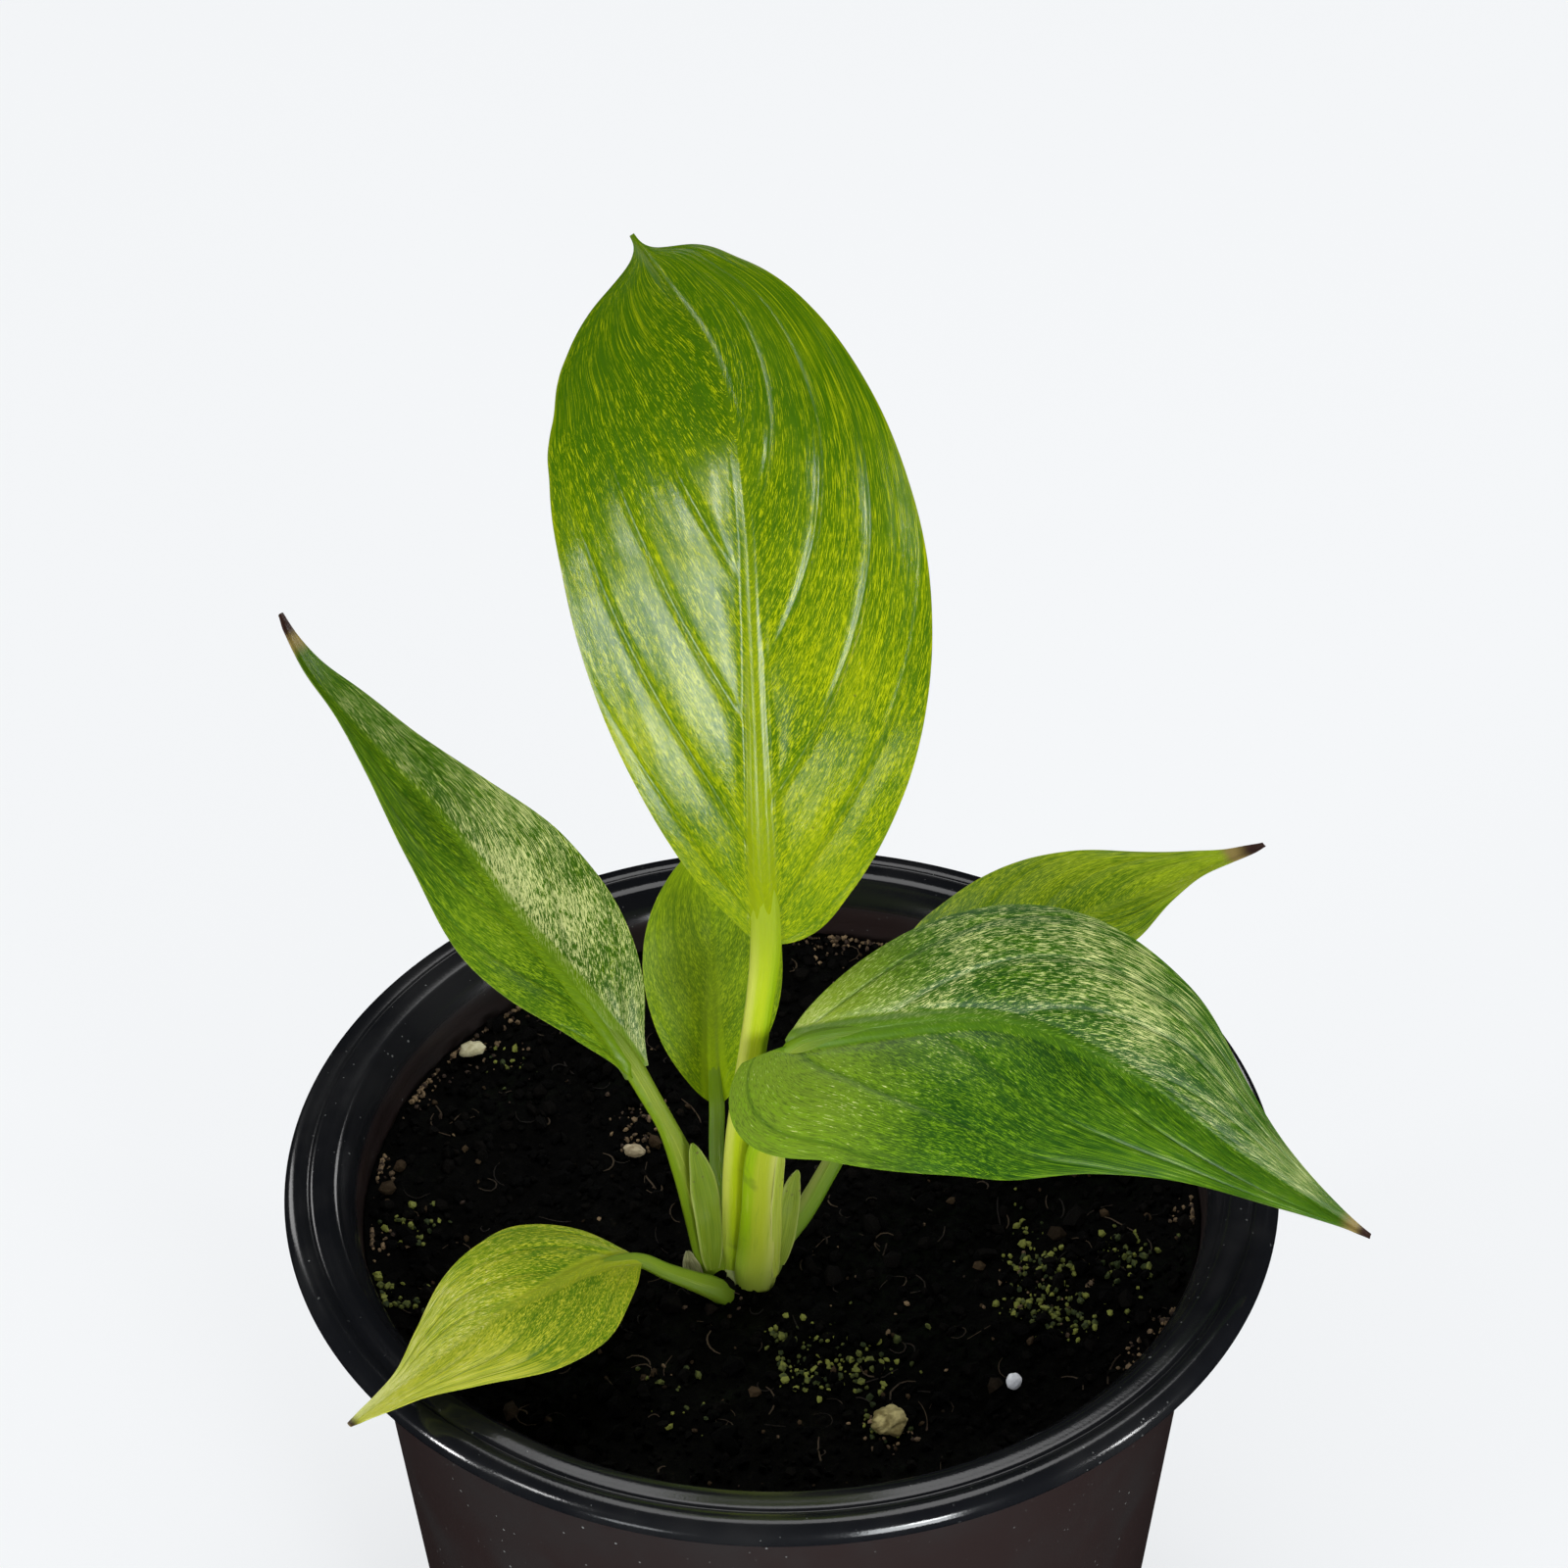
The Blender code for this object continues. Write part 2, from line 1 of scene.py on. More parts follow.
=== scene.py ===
# %% [markdown]
# # A young potted peace lily
# This lesson dresses a plain, measured plant in its real surfaces: waxy leaves with sunken veins
# and cream mottling, fleshy stalks, crumbly black soil and a glossy moulded pot. The measured
# solids come first and never move. Each fine piece is then worked out in the same place, in
# millimetres.

# %% Load the measured model
import math

import bpy
import numpy as np
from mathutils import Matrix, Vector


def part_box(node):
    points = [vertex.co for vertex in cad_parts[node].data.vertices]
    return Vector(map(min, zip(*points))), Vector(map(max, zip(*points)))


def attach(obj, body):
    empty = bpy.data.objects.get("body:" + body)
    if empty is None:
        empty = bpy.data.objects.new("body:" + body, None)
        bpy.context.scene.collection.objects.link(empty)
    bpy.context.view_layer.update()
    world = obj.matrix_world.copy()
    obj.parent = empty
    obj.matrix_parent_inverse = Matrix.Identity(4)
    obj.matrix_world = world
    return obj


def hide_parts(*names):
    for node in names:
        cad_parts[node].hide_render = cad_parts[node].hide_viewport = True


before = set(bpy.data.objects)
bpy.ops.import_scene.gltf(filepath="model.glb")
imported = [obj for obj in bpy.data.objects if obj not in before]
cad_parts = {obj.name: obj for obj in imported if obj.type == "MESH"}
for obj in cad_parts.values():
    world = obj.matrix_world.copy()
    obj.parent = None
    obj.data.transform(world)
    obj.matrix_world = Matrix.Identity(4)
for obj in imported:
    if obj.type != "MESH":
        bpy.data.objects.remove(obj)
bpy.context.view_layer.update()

MM = 0.001

# %% [markdown]
# ## A smooth line through a few points
# Midribs, leaf widths and stalks are all given at a few stations and must flow smoothly between
# them. A Bezier curve object could do this, but a short formula gives whole arrays at once and
# lets every later surface ask for a value at any station.


# %% Smooth interpolation
LINE_STEPS = 600  # points that a smooth line is measured with


def through(stations, values, t):
    """Cubic through the values at the stations: each piece blends its two end values and end
    slopes, and an inner slope is the mean of the chords beside it, weighted by the opposite
    chord's length."""
    stations = np.asarray(stations, float)
    values = np.asarray(values, float)
    flat = values.ndim == 1
    values = values[:, None] if flat else values
    t = np.clip(np.asarray(t, float), stations[0], stations[-1])
    gap = np.diff(stations)[:, None]
    slope = np.diff(values, axis=0) / gap
    lean = np.zeros_like(values)
    lean[1:-1] = (slope[:-1] * gap[1:] + slope[1:] * gap[:-1]) / (gap[1:] + gap[:-1])
    lean[0] = (3 * slope[0] - lean[1]) / 2
    lean[-1] = (3 * slope[-1] - lean[-2]) / 2
    i = np.clip(np.searchsorted(stations, t, side="right") - 1, 0, len(stations) - 2)
    h = gap[i, 0][..., None]
    u = (t - stations[i])[..., None] / h
    ends = (2 * u**3 - 3 * u**2 + 1) * values[i] + (3 * u**2 - 2 * u**3) * values[i + 1]
    bends = (u**3 - 2 * u**2 + u) * h * lean[i] + (u**3 - u**2) * h * lean[i + 1]
    return (ends + bends)[..., 0] if flat else ends + bends


def chord_sums(points):
    """Distance from the first point to each point, along the chords between them."""
    steps = np.linalg.norm(np.diff(points, axis=0), axis=1)
    return np.concatenate(([0.0], np.cumsum(steps)))


def along_line(points, t, chord_share=0.01):
    """Place and unit direction at the share t of a line's length, and that length in mm. The
    direction is that of the chord from chord_share of the length before to as much after."""
    points = np.asarray(points, float)
    chord = chord_sums(points)
    fine = through(chord, points, np.linspace(0, chord[-1], LINE_STEPS))
    share = chord_sums(fine)
    length = share[-1]

    def place(u):
        u = np.clip(u, 0, 1) * length
        return np.stack([np.interp(u, share, fine[..., k]) for k in range(points.shape[1])], -1)

    ahead = (place(t + chord_share) - place(t - chord_share))[..., :3]
    return place(t), ahead / np.linalg.norm(ahead, axis=-1, keepdims=True), length


def square_to(direction, along):
    """Direction with its part along the line taken out, at unit length."""
    direction = direction - (direction * along).sum(-1, keepdims=True) * along
    return direction / np.linalg.norm(direction, axis=-1, keepdims=True)


def round_angles(count):
    """Even angles once round, in radians."""
    return np.linspace(0, 2 * np.pi, count, endpoint=False)


def smooth_step(low, high, x):
    """0 below low, 1 above high, and 3u^2 - 2u^3 between them."""
    u = np.clip((x - low) / (high - low), 0, 1)
    return u * u * (3 - 2 * u)


# %% [markdown]
# ## Even, repeatable roughness
# Soil and leaves need irregular height. Blender's own noise works point by point in Python, which
# is slow on large grids. A hashed lattice gives the same kind of smooth random field to a whole
# array.


# %% Lattice noise
def lattice_noise(x, y, seed=0):
    """Value noise from -1 to 1: a hash gives each whole-number corner a value, and the smooth step
    of the fractions blends the four corners round a point."""
    x0, y0 = np.floor(x), np.floor(y)
    fx, fy = x - x0, y - y0
    fx, fy = fx * fx * (3 - 2 * fx), fy * fy * (3 - 2 * fy)

    def corner(i, j):
        h = np.sin((x0 + i) * 127.1 + (y0 + j) * 311.7 + seed * 74.7) * 43758.5453
        return (h - np.floor(h)) * 2 - 1

    low = corner(0, 0) * (1 - fx) + corner(1, 0) * fx
    high = corner(0, 1) * (1 - fx) + corner(1, 1) * fx
    return low * (1 - fy) + high * fy


def layered_noise(x, y, octaves=4, seed=0):
    """Sum of lattice noise at doubling scales and halving heights, over the sum of the heights."""
    total = sum(lattice_noise(x * 2**k, y * 2**k, seed + 13 * k) / 2**k for k in range(octaves))
    return total / (2 - 2.0 ** (1 - octaves))


# %% [markdown]
# ## From arrays to a mesh
# Every piece ends as one closed mesh with its faces pointing out, sitting at the origin. A closed
# grid has rings that join up sideways and two ends to close. The helper works out the enclosed
# volume: if it is negative, the faces point inwards and are turned round.


# %% Mesh helpers
def ring_faces(rings, around):
    """Four-sided faces between neighbouring rings of a tube-like grid."""
    index = np.arange(rings * around).reshape(rings, around)
    beside = np.roll(index, -1, axis=1)
    return np.stack([index[:-1], beside[:-1], beside[1:], index[1:]], -1).reshape(-1, 4)


def new_object(name, data):
    """An object with this data, linked into the scene."""
    made = bpy.data.objects.new(name, data)
    bpy.context.scene.collection.objects.link(made)
    return made


def add_piece(name, points, quads, triangles, look, fields=None, stands_for=(), slot=None,
              sharp=50):
    """One mesh object from arrays in mm. fields are named values, one for each point."""
    points = np.asarray(points, float).reshape(-1, 3)
    quads = np.asarray(quads, int).reshape(-1, 4)
    triangles = np.asarray(triangles, int).reshape(-1, 3)
    split = np.concatenate((quads[:, [0, 1, 2]], quads[:, [0, 2, 3]], triangles))
    a, b, c = np.moveaxis(points[split], 1, 0)
    volume = np.einsum("ij,ij->i", a, np.cross(b, c)).sum() / 6
    if volume < 0:
        quads, triangles = quads[:, ::-1], triangles[:, ::-1]
    mesh = bpy.data.meshes.new(name)
    mesh.vertices.add(len(points))
    mesh.vertices.foreach_set("co", (points * MM).astype(np.float32).ravel())
    loops = np.concatenate((quads.ravel(), triangles.ravel())).astype(np.int32)
    starts = np.arange(len(quads)) * 4, len(quads) * 4 + np.arange(len(triangles)) * 3
    starts = np.concatenate(starts)
    mesh.loops.add(len(loops))
    mesh.loops.foreach_set("vertex_index", loops)
    mesh.polygons.add(len(starts))
    mesh.polygons.foreach_set("loop_start", starts.astype(np.int32))
    mesh.update(calc_edges=True)
    mesh.validate()
    for field, values in (fields or {}).items():
        layer = mesh.attributes.new(field, "FLOAT", "POINT")
        layer.data.foreach_set("value", np.asarray(values, np.float32).ravel())
    mesh.shade_smooth()
    mesh.set_sharp_from_angle(angle=math.radians(sharp))
    mesh.materials.append(look)
    piece = new_object(name, mesh)
    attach(piece, "root")
    if stands_for:
        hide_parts(*stands_for)
    print(f"{name}: {len(points)} points, {len(split)} triangles, {abs(volume):.1f} mm3")
    return piece


def there_and_back(upper, lower):
    """Rings that cross the upper side of a sheet and come back across the lower one."""
    return np.concatenate((upper, lower[:, ::-1]), axis=1)


def tube_piece(name, rings, look, **more):
    """A closed tube from an array of rings (ring, around, xyz), each end closed by a fan."""
    count, around = rings.shape[:2]
    points = np.concatenate((rings.reshape(-1, 3), rings[[0, -1]].mean(axis=1)))
    first = np.arange(around)
    last = first + (count - 1) * around
    fans = np.concatenate((
        np.stack([np.roll(first, -1), first, np.full(around, count * around)], -1),
        np.stack([last, np.roll(last, -1), np.full(around, count * around + 1)], -1),
    ))
    fields = {
        key: np.concatenate((np.ravel(v), [np.ravel(v)[0], np.ravel(v)[-1]]))
        for key, v in more.pop("fields", {}).items()
    }
    return add_piece(name, points, ring_faces(count, around), fans, look, fields=fields, **more)


# %% [markdown]
# ## Building materials from nodes
# Each finish is a small node tree on a Principled BSDF. Writing the links by hand fills pages, so
# a little builder adds a node, sets its sockets and plugs in whatever is passed to it.


# %% Node helpers
class Finish:
    """A material under construction: each method adds one node and returns its output socket."""

    def __init__(self, name):
        self.material = bpy.data.materials.new(name)
        self.material.use_nodes = True
        self.tree = self.material.node_tree
        self.shader = self.tree.nodes["Principled BSDF"]

    def plug(self, socket, value):
        """Links or sets a socket. A colour of three numbers is made opaque."""
        if isinstance(value, bpy.types.NodeSocket):
            self.tree.links.new(value, socket)
        elif value is not None:
            is_colour = isinstance(value, tuple) and len(value) == 3
            socket.default_value = (*value, 1.0) if is_colour else value

    def node(self, kind, inputs, output=0, **settings):
        made = self.tree.nodes.new(kind)
        for key, value in settings.items():
            setattr(made, key, value)
        for key, value in inputs.items():
            self.plug(made.inputs[key], value)
        return made.outputs[output]

    def field(self, name):
        return self.node("ShaderNodeAttribute", {}, "Fac", attribute_name=name)

    def place(self):
        return self.node("ShaderNodeTexCoord", {}, "Object")

    def maths(self, how, a, b=None, c=None):
        return self.node("ShaderNodeMath", {0: a, 1: b, 2: c}, operation=how)

    def times(self, a, b):
        return self.maths("MULTIPLY", a, b)

    def plus(self, a, b):
        return self.maths("ADD", a, b)

    def minus(self, a, b):
        return self.maths("SUBTRACT", a, b)

    def times_plus(self, a, b, c):
        return self.maths("MULTIPLY_ADD", a, b, c)

    def join(self, x, y, z=0.0):
        return self.node("ShaderNodeCombineXYZ", {0: x, 1: y, 2: z})

    def noise(self, vector, scale=1.0, detail=3.0, rough=0.5):
        inputs = {"Vector": vector, "Scale": scale, "Detail": detail, "Roughness": rough}
        return self.node("ShaderNodeTexNoise", inputs, "Fac")

    def cells(self, vector, scale):
        """Distance to the nearest of many scattered points."""
        return self.node("ShaderNodeTexVoronoi", {"Vector": vector, "Scale": scale}, "Distance")

    def ramp(self, fac, low, high, start=0.0, end=1.0):
        """fac moved from low..high to start..end, held at the ends."""
        inputs = {"Value": fac, "From Min": low, "From Max": high, "To Min": start, "To Max": end}
        return self.node("ShaderNodeMapRange", inputs, interpolation_type="SMOOTHSTEP")

    def mix(self, fac, a, b):
        """Colour a where fac is 0, and b where it is 1."""
        return self.node("ShaderNodeMix", {0: fac, 6: a, 7: b}, 2, data_type="RGBA")

    def bump(self, height, strength, depth, normal=None):
        inputs = {"Height": height, "Strength": strength, "Distance": depth, "Normal": normal}
        return self.node("ShaderNodeBump", inputs)

    def finish(self, colour, roughness, normal=None, **more):
        """Plugs all into the shader. An underscore in a socket's name stands for a space."""
        sockets = {"Base Color": colour, "Roughness": roughness, "Normal": normal, **more}
        for key, value in sockets.items():
            self.plug(self.shader.inputs[key.replace("_", " ")], value)
        return self.material


# %% [markdown]
# ## The six leaves, as measured
# Each leaf is a midrib through a few points, the way its upper side faces, and the half-width of
# each side at set shares of its length. Both halves fold up a little from the midrib and flatten
# or curl down again towards the margin. These are the same figures that the plain solids are made
# from. The last two say how far the base of each half is swept back, and how strongly the leaf is
# quilted.

# %% Leaf dimensions, mm and degrees
WIDTH_AT = (0.0, 0.04, 0.12, 0.25, 0.4, 0.55, 0.7, 0.82, 0.9, 0.96, 1.0)
TURN_AT = (0.0, 0.3, 0.65, 1.0)
BLADES = {
    "tall_centre": {
        "midrib": (
            (-1.5, -12.0, 146.1), (-1.9, -11.7, 160.0), (-2.2, -10.4, 174.5), (-2.6, -8.0, 190.5),
            (-3.2, -4.7, 204.5), (-4.4, -1.0, 213.8), (-7.2, 4.0, 221.3), (-11.8, 9.0, 226.1),
            (-15.7, 14.0, 229.6),
        ),
        "face": ((0, -1, 0.05), (0, -1, 0.15), (0.05, -1, 0.5), (-0.05, -1, 1.1)),
        "stations": (0.0, 0.04, 0.12, 0.25, 0.4, 0.55, 0.7, 0.82, 0.9, 0.945, 0.97, 1.0),
        "left": (1.0, 3.0, 7.5, 13.5, 18.5, 21.3, 21.8, 19.8, 14.8, 8.6, 2.2, 0.3),
        "right": (0.6, 5.5, 11.0, 17.0, 20.5, 20.5, 17.2, 12.4, 8.6, 5.2, 1.3, 0.3),
        "fold": ((8, 12, 8, 6),) * 2,
        "edge": ((12, 14, 4, 0),) * 2,
        "swept": (-35, -35, 0.10), "quilt": 0.62,
    },
    "left": {
        "midrib": (
            (-18.2, -9.0, 123.1), (-24.2, -6.0, 132.1), (-32.6, 0.0, 140.6), (-40.9, 5.0, 151.7),
            (-49.1, 9.0, 160.4), (-56.7, 13.0, 168.8), (-60.1, 14.0, 177.4),
        ),
        "face": ((0.6, -0.75, 0.6), (0.6, -0.7, 0.6), (0.6, -0.7, 0.6), (0.6, -0.7, 0.6)),
        "left": (1.4, 2.4, 5.5, 11.0, 12.2, 9.6, 3.8, 1.0, 0.9, 0.6, 0.35),
        "right": (1.8, 3.1, 7.1, 10.8, 10.8, 7.4, 4.7, 3.2, 1.6, 0.7, 0.35),
        "fold": ((25, 28, 24, 20), (22, 24, 20, 15)),
        "edge": ((20, 24, 20, 15), (14, 16, 12, 10)),
        "swept": (-20, -20, 0.08), "quilt": 0.7,
    },
    "rear": {
        "midrib": (
            (-8.3, 1.0, 108.5), (-8.6, 2.2, 115.1), (-8.5, 5.0, 125.8), (-8.4, 8.0, 133.1),
            (-8.0, 12.0, 137.9), (-7.1, 17.0, 141.1),
        ),
        "face": ((0, -1, 0.2),) * 4,
        "left": (0.7, 2.0, 4.0, 6.6, 8.4, 9.0, 7.9, 5.6, 3.4, 1.6, 0.35),
        "right": (0.8, 2.0, 4.1, 6.8, 8.6, 9.0, 8.1, 6.2, 4.3, 2.2, 0.35),
        "fold": ((8, 10, 8, 6),) * 2,
        "edge": ((8, 10, 8, 6),) * 2,
        "swept": (-20, -20, 0.08), "quilt": 0.4,
    },
    "right_front": {
        "midrib": (
            (0.9, -15.5, 132.7), (12.1, -13.5, 133.5), (27.1, -12.0, 133.0), (43.3, -15.0, 126.9),
            (56.5, -19.0, 117.7), (74.0, -22.0, 105.3),
        ),
        "face": ((0.0, -0.55, 0.85), (0.0, -0.5, 0.85), (0.15, -0.45, 0.85), (0.2, -0.3, 0.9)),
        "left": (0.7, 3.6, 8.0, 13.2, 16.1, 13.2, 8.0, 3.9, 1.9, 0.8, 0.35),
        "right": (6.0, 14.6, 17.2, 19.8, 19.6, 14.2, 7.6, 4.3, 2.2, 0.9, 0.35),
        "fold": ((22, 26, 22, 15), (8, 10, 10, 10)),
        "edge": ((-4, -6, 4, 10), (-20, -18, -6, 0)),
        "swept": (-10, -80, 0.10), "quilt": 0.55,
    },
    "right_rear": {
        "midrib": (
            (17.4, 1.0, 120.6), (22.7, 6.0, 122.9), (31.2, 13.0, 123.7), (38.6, 19.0, 123.1),
            (46.2, 24.7, 122.2), (55.1, 31.0, 121.0), (60.3, 35.0, 120.3), (66.0, 39.0, 119.7),
        ),
        "face": ((-0.2, -0.35, 1), (-0.1, -0.35, 1), (0, -0.3, 1), (0, -0.3, 1)),
        "left": (0.8, 4.7, 8.9, 10.9, 11.4, 9.4, 6.2, 3.3, 1.5, 0.8, 0.35),
        "right": (0.8, 2.9, 6.2, 8.2, 8.4, 6.6, 2.8, 0.9, 0.7, 0.6, 0.35),
        "fold": ((12, 14, 12, 10),) * 2,
        "edge": ((0, 0, 4, 8),) * 2,
        "swept": (-30, -30, 0.08), "quilt": 0.7,
    },
    "low_front": {
        "midrib": (
            (-18.4, -17.4, 98.2), (-23.6, -21.4, 101.0), (-28.6, -26.8, 103.0),
            (-33.2, -31.6, 104.4), (-41.8, -40.8, 105.0), (-52.2, -50.8, 104.0),
        ),
        "face": ((0, -0.1, 1),) * 4,
        "left": (0.6, 2.2, 5.8, 9.9, 13.1, 12.8, 7.2, 3.6, 2.2, 1.0, 0.35),
        "right": (0.6, 1.9, 6.0, 10.2, 9.9, 8.3, 4.8, 1.9, 1.1, 0.7, 0.35),
        "fold": ((10, 12, 10, 8),) * 2,
        "edge": ((4, 6, 6, 6),) * 2,
        "swept": (-35, -35, 0.08), "quilt": 0.7,
    },
}
print("leaves:", ", ".join(BLADES))

# %% [markdown]
# ## A leaf blade as a formula
# The middle surface is a function of t, the share of the length, and s, which runs from -1 at the
# left margin to 1 at the right one. At each t a half section leaves the midrib at the fold angle
# and turns towards the edge angle, so its run and rise are the means of the cosine and the sine on
# the way.


# %% Blade surface
SECTION_CHORD = 0.12  # sections stand square to this much of the midrib each way: none cross
FOLD_SLICES, FOLD_POWER = 20, 1.3  # steps from fold to edge angle, and how late the turn comes


def blade_frame(blade, t, s):
    """Middle surface, its half-width at t, and the midrib's length: midrib + side * run + up *
    rise, with the section's line swept back near the base, where the lobes reach behind the
    stalk."""
    centre, along, length = along_line(blade["midrib"], t, SECTION_CHORD)
    up = square_to(through(TURN_AT, blade["face"], t), along)
    side = np.cross(along, up)
    is_left = s < 0

    def pick(stations, pair):
        return np.where(is_left, through(stations, pair[0], t), through(stations, pair[1], t))

    width = pick(blade.get("stations", WIDTH_AT), (blade["left"], blade["right"]))
    fold = pick(TURN_AT, blade["fold"])
    edge = pick(TURN_AT, blade["edge"])
    back_left, back_right, reach = blade["swept"]
    swept = np.radians(np.where(is_left, back_left, back_right) * np.exp(-t / reach))
    slices = (np.arange(FOLD_SLICES) + 0.5) / FOLD_SLICES
    share = (np.abs(s)[..., None] * slices) ** FOLD_POWER
    rise = np.radians(fold[..., None] + (edge - fold)[..., None] * share)
    run = np.cos(rise).mean(-1) * np.abs(s) * width
    lift = np.sin(rise).mean(-1) * np.abs(s) * width
    point = centre + side * (np.sign(s) * run * np.cos(swept))[..., None]
    point = point + along * (run * np.sin(swept))[..., None] + up * lift[..., None]
    return point, width, length


def grid_normals(points):
    """Unit normals on the upper side: the difference across crossed with the difference along."""
    normal = np.cross(np.gradient(points, axis=1), np.gradient(points, axis=0))
    return normal / np.maximum(np.linalg.norm(normal, axis=-1, keepdims=True), 1e-9)


# %% [markdown]
# ## Veins and quilting
# A peace lily's side veins leave the midrib at an angle, bow out and run up towards the tip.
# Giving every point the place where its vein leaves the midrib turns that fan into one number.
# Whole numbers of it are grooves, the blade puffs up between them, and streaks of colour can
# follow it.


# %% Vein coordinate and relief
VEINS = 5.0  # side veins that leave each half of the midrib
LEFT_SHIFT = 0.42  # of a vein's spacing, so that the two halves alternate
FULL_SIZE = 90  # mm: a shorter leaf has shallower relief


def vein_start(blade, t, s, length):
    """Place in mm where the vein through (t, s) leaves the midrib: the place along the leaf, less
    a bow of 1.4 |s| + 0.6 s^2 of the greatest half-width. The bow is taken 0.65 times at the base
    and 1.75 times at the tip, where the veins run nearly along the midrib."""
    reach = max(*blade["left"], *blade["right"])
    away = np.abs(s)
    return length * t - reach * (1.4 * away + 0.6 * away**2) * (0.65 + 1.1 * t)


def vein_number(start, s, length):
    """A whole number on each vein, from the place in mm where it starts."""
    return start / (length / VEINS) + np.where(s < 0, LEFT_SHIFT, 0.0)


def relief(blade, t, s, width, length):
    """Height in mm of the upper side over the middle surface, and the extra depth of the
    underside. The height is puffs |sin|^0.6 between bell-shaped grooves, plus two layers of noise,
    a wave along the margin and a raised band for the midrib, less a channel in it and a dip on
    each side."""
    start = vein_start(blade, t, s, length)
    number = vein_number(start, s, length)
    off = (number - np.round(number)) * (length / VEINS)
    away = np.abs(s) * width
    size = min(1.0, length / FULL_SIZE)
    fade = smooth_step(0.4, 4.0 * size, away) * (1 - np.abs(s) ** 5)
    fade = fade * smooth_step(0.0, 0.12, t) * smooth_step(1.0, 0.62, t)
    puffs = 0.5 * np.abs(np.sin(np.pi * number)) ** 0.6 - 0.3 * np.exp(-(off**2))
    quilt = fade * size * blade["quilt"] * puffs
    fine = 0.025 * layered_noise(start / 2.6, away / 3.0, 3, 5) * smooth_step(0.3, 1.5, away)
    broad = 0.12 * size * layered_noise(start / 11.0 + 7, away / 6.0, 2, 6)
    fine = fine + broad * smooth_step(0.3, 3.0, away)
    wave = 0.5 * size * np.abs(s) ** 4 * np.sin(2 * np.pi * (2.6 * t + 0.17 * np.sign(s)))
    wave = wave * np.sin(np.pi * t)
    rib = size * (1.5 * (1 - t) ** 1.2 + 0.25)
    band = 0.75 * size * (1 - t) ** 1.5 * np.exp(-((away / rib) ** 4))
    channel = 0.25 * size * np.exp(-((away / (0.35 + 0.3 * rib)) ** 2)) * smooth_step(0.35, 0.7, t)
    sides = 0.2 * size * np.exp(-(((away - 1.25 * rib) / (0.4 * rib)) ** 2)) * (1 - t)
    under = 1.1 * rib * np.sqrt(np.clip(1 - (away / (1.15 * rib)) ** 2, 0, 1))
    return quilt + fine + wave + band - channel - sides, under


def make_blade(name, blade, look, rows, columns, thickness=0.42, **more):
    """Closed leaf: the upper side from left to right, then the underside back again, ring by
    ring."""
    t_line = np.linspace(0, 1, rows)
    t_line = 0.8 * t_line + 0.2 * (0.5 - 0.5 * np.cos(np.pi * t_line))  # denser at the ends
    s_line = np.linspace(-1, 1, columns)
    s_line = 0.75 * s_line + 0.25 * np.sin(s_line * np.pi / 2)  # denser at the margins
    t, s = np.meshgrid(t_line, s_line, indexing="ij")
    middle, width, length = blade_frame(blade, t, s)
    normal = grid_normals(middle)
    height, under = relief(blade, t, s, width, length)
    ends = smooth_step(0.0, 0.02, t) * smooth_step(1.0, 0.97, t)
    thin = thickness * (0.35 + 0.65 * (1 - np.abs(s) ** 8)) * (0.6 + 0.4 * ends)
    upper = middle + normal * (height * ends)[..., None]
    under = under * (0.25 + 0.75 * smooth_step(1.0, 0.9, t))
    lower = upper - normal * (thin + under)[..., None]
    rings = there_and_back(upper, lower)
    around = 2 * columns
    j = np.arange(columns - 1)
    base_end = np.stack([j, around - 1 - j, around - 2 - j, j + 1], -1)
    tip_end = base_end + (rows - 1) * around
    quads = np.concatenate((ring_faces(rows, around)[:, ::-1], base_end[:, ::-1], tip_end))
    start = vein_start(blade, t, s, length)
    both = {
        "along": t, "across": s, "away": np.abs(s) * width,
        "vein": start, "phase": vein_number(start, s, length),
    }
    fields = {key: there_and_back(v, v) for key, v in both.items()}
    fields["under"] = there_and_back(np.zeros_like(t), np.ones_like(t))
    return add_piece(name, rings, quads, [], look, fields=fields, sharp=70, **more)


# %% [markdown]
# ## The waxy, mottled leaf finish
# These young leaves are variegated: green tissue is streaked and flecked with paler green and
# cream along the side veins. Noise stretched along the vein coordinate gives the streaks, and a
# finer one the flecks. A little of it as bump breaks the shine up, as a real cuticle does. A
# picture of a leaf could be wrapped on instead, but it would have to be bent to six shapes and
# would hold its own light.


# %% Leaf finish
CREAM, HEEL, SPECK = (0.60, 0.62, 0.26), (0.26, 0.36, 0.02), (0.05, 0.045, 0.02)
DRY, DEAD = (0.23, 0.17, 0.05), (0.035, 0.016, 0.012)  # the dry tip, where it starts and ends
# The last value is how strongly painted shade darkens the sunken vein grooves.
UNDER_SHARE, RIB_TINT, GROOVE_SHADE = 0.75, 0.45, 0.45


def shade(colour, by, plus=0.0):
    """The colour times one number, plus another."""
    return tuple(by * c + plus for c in colour)


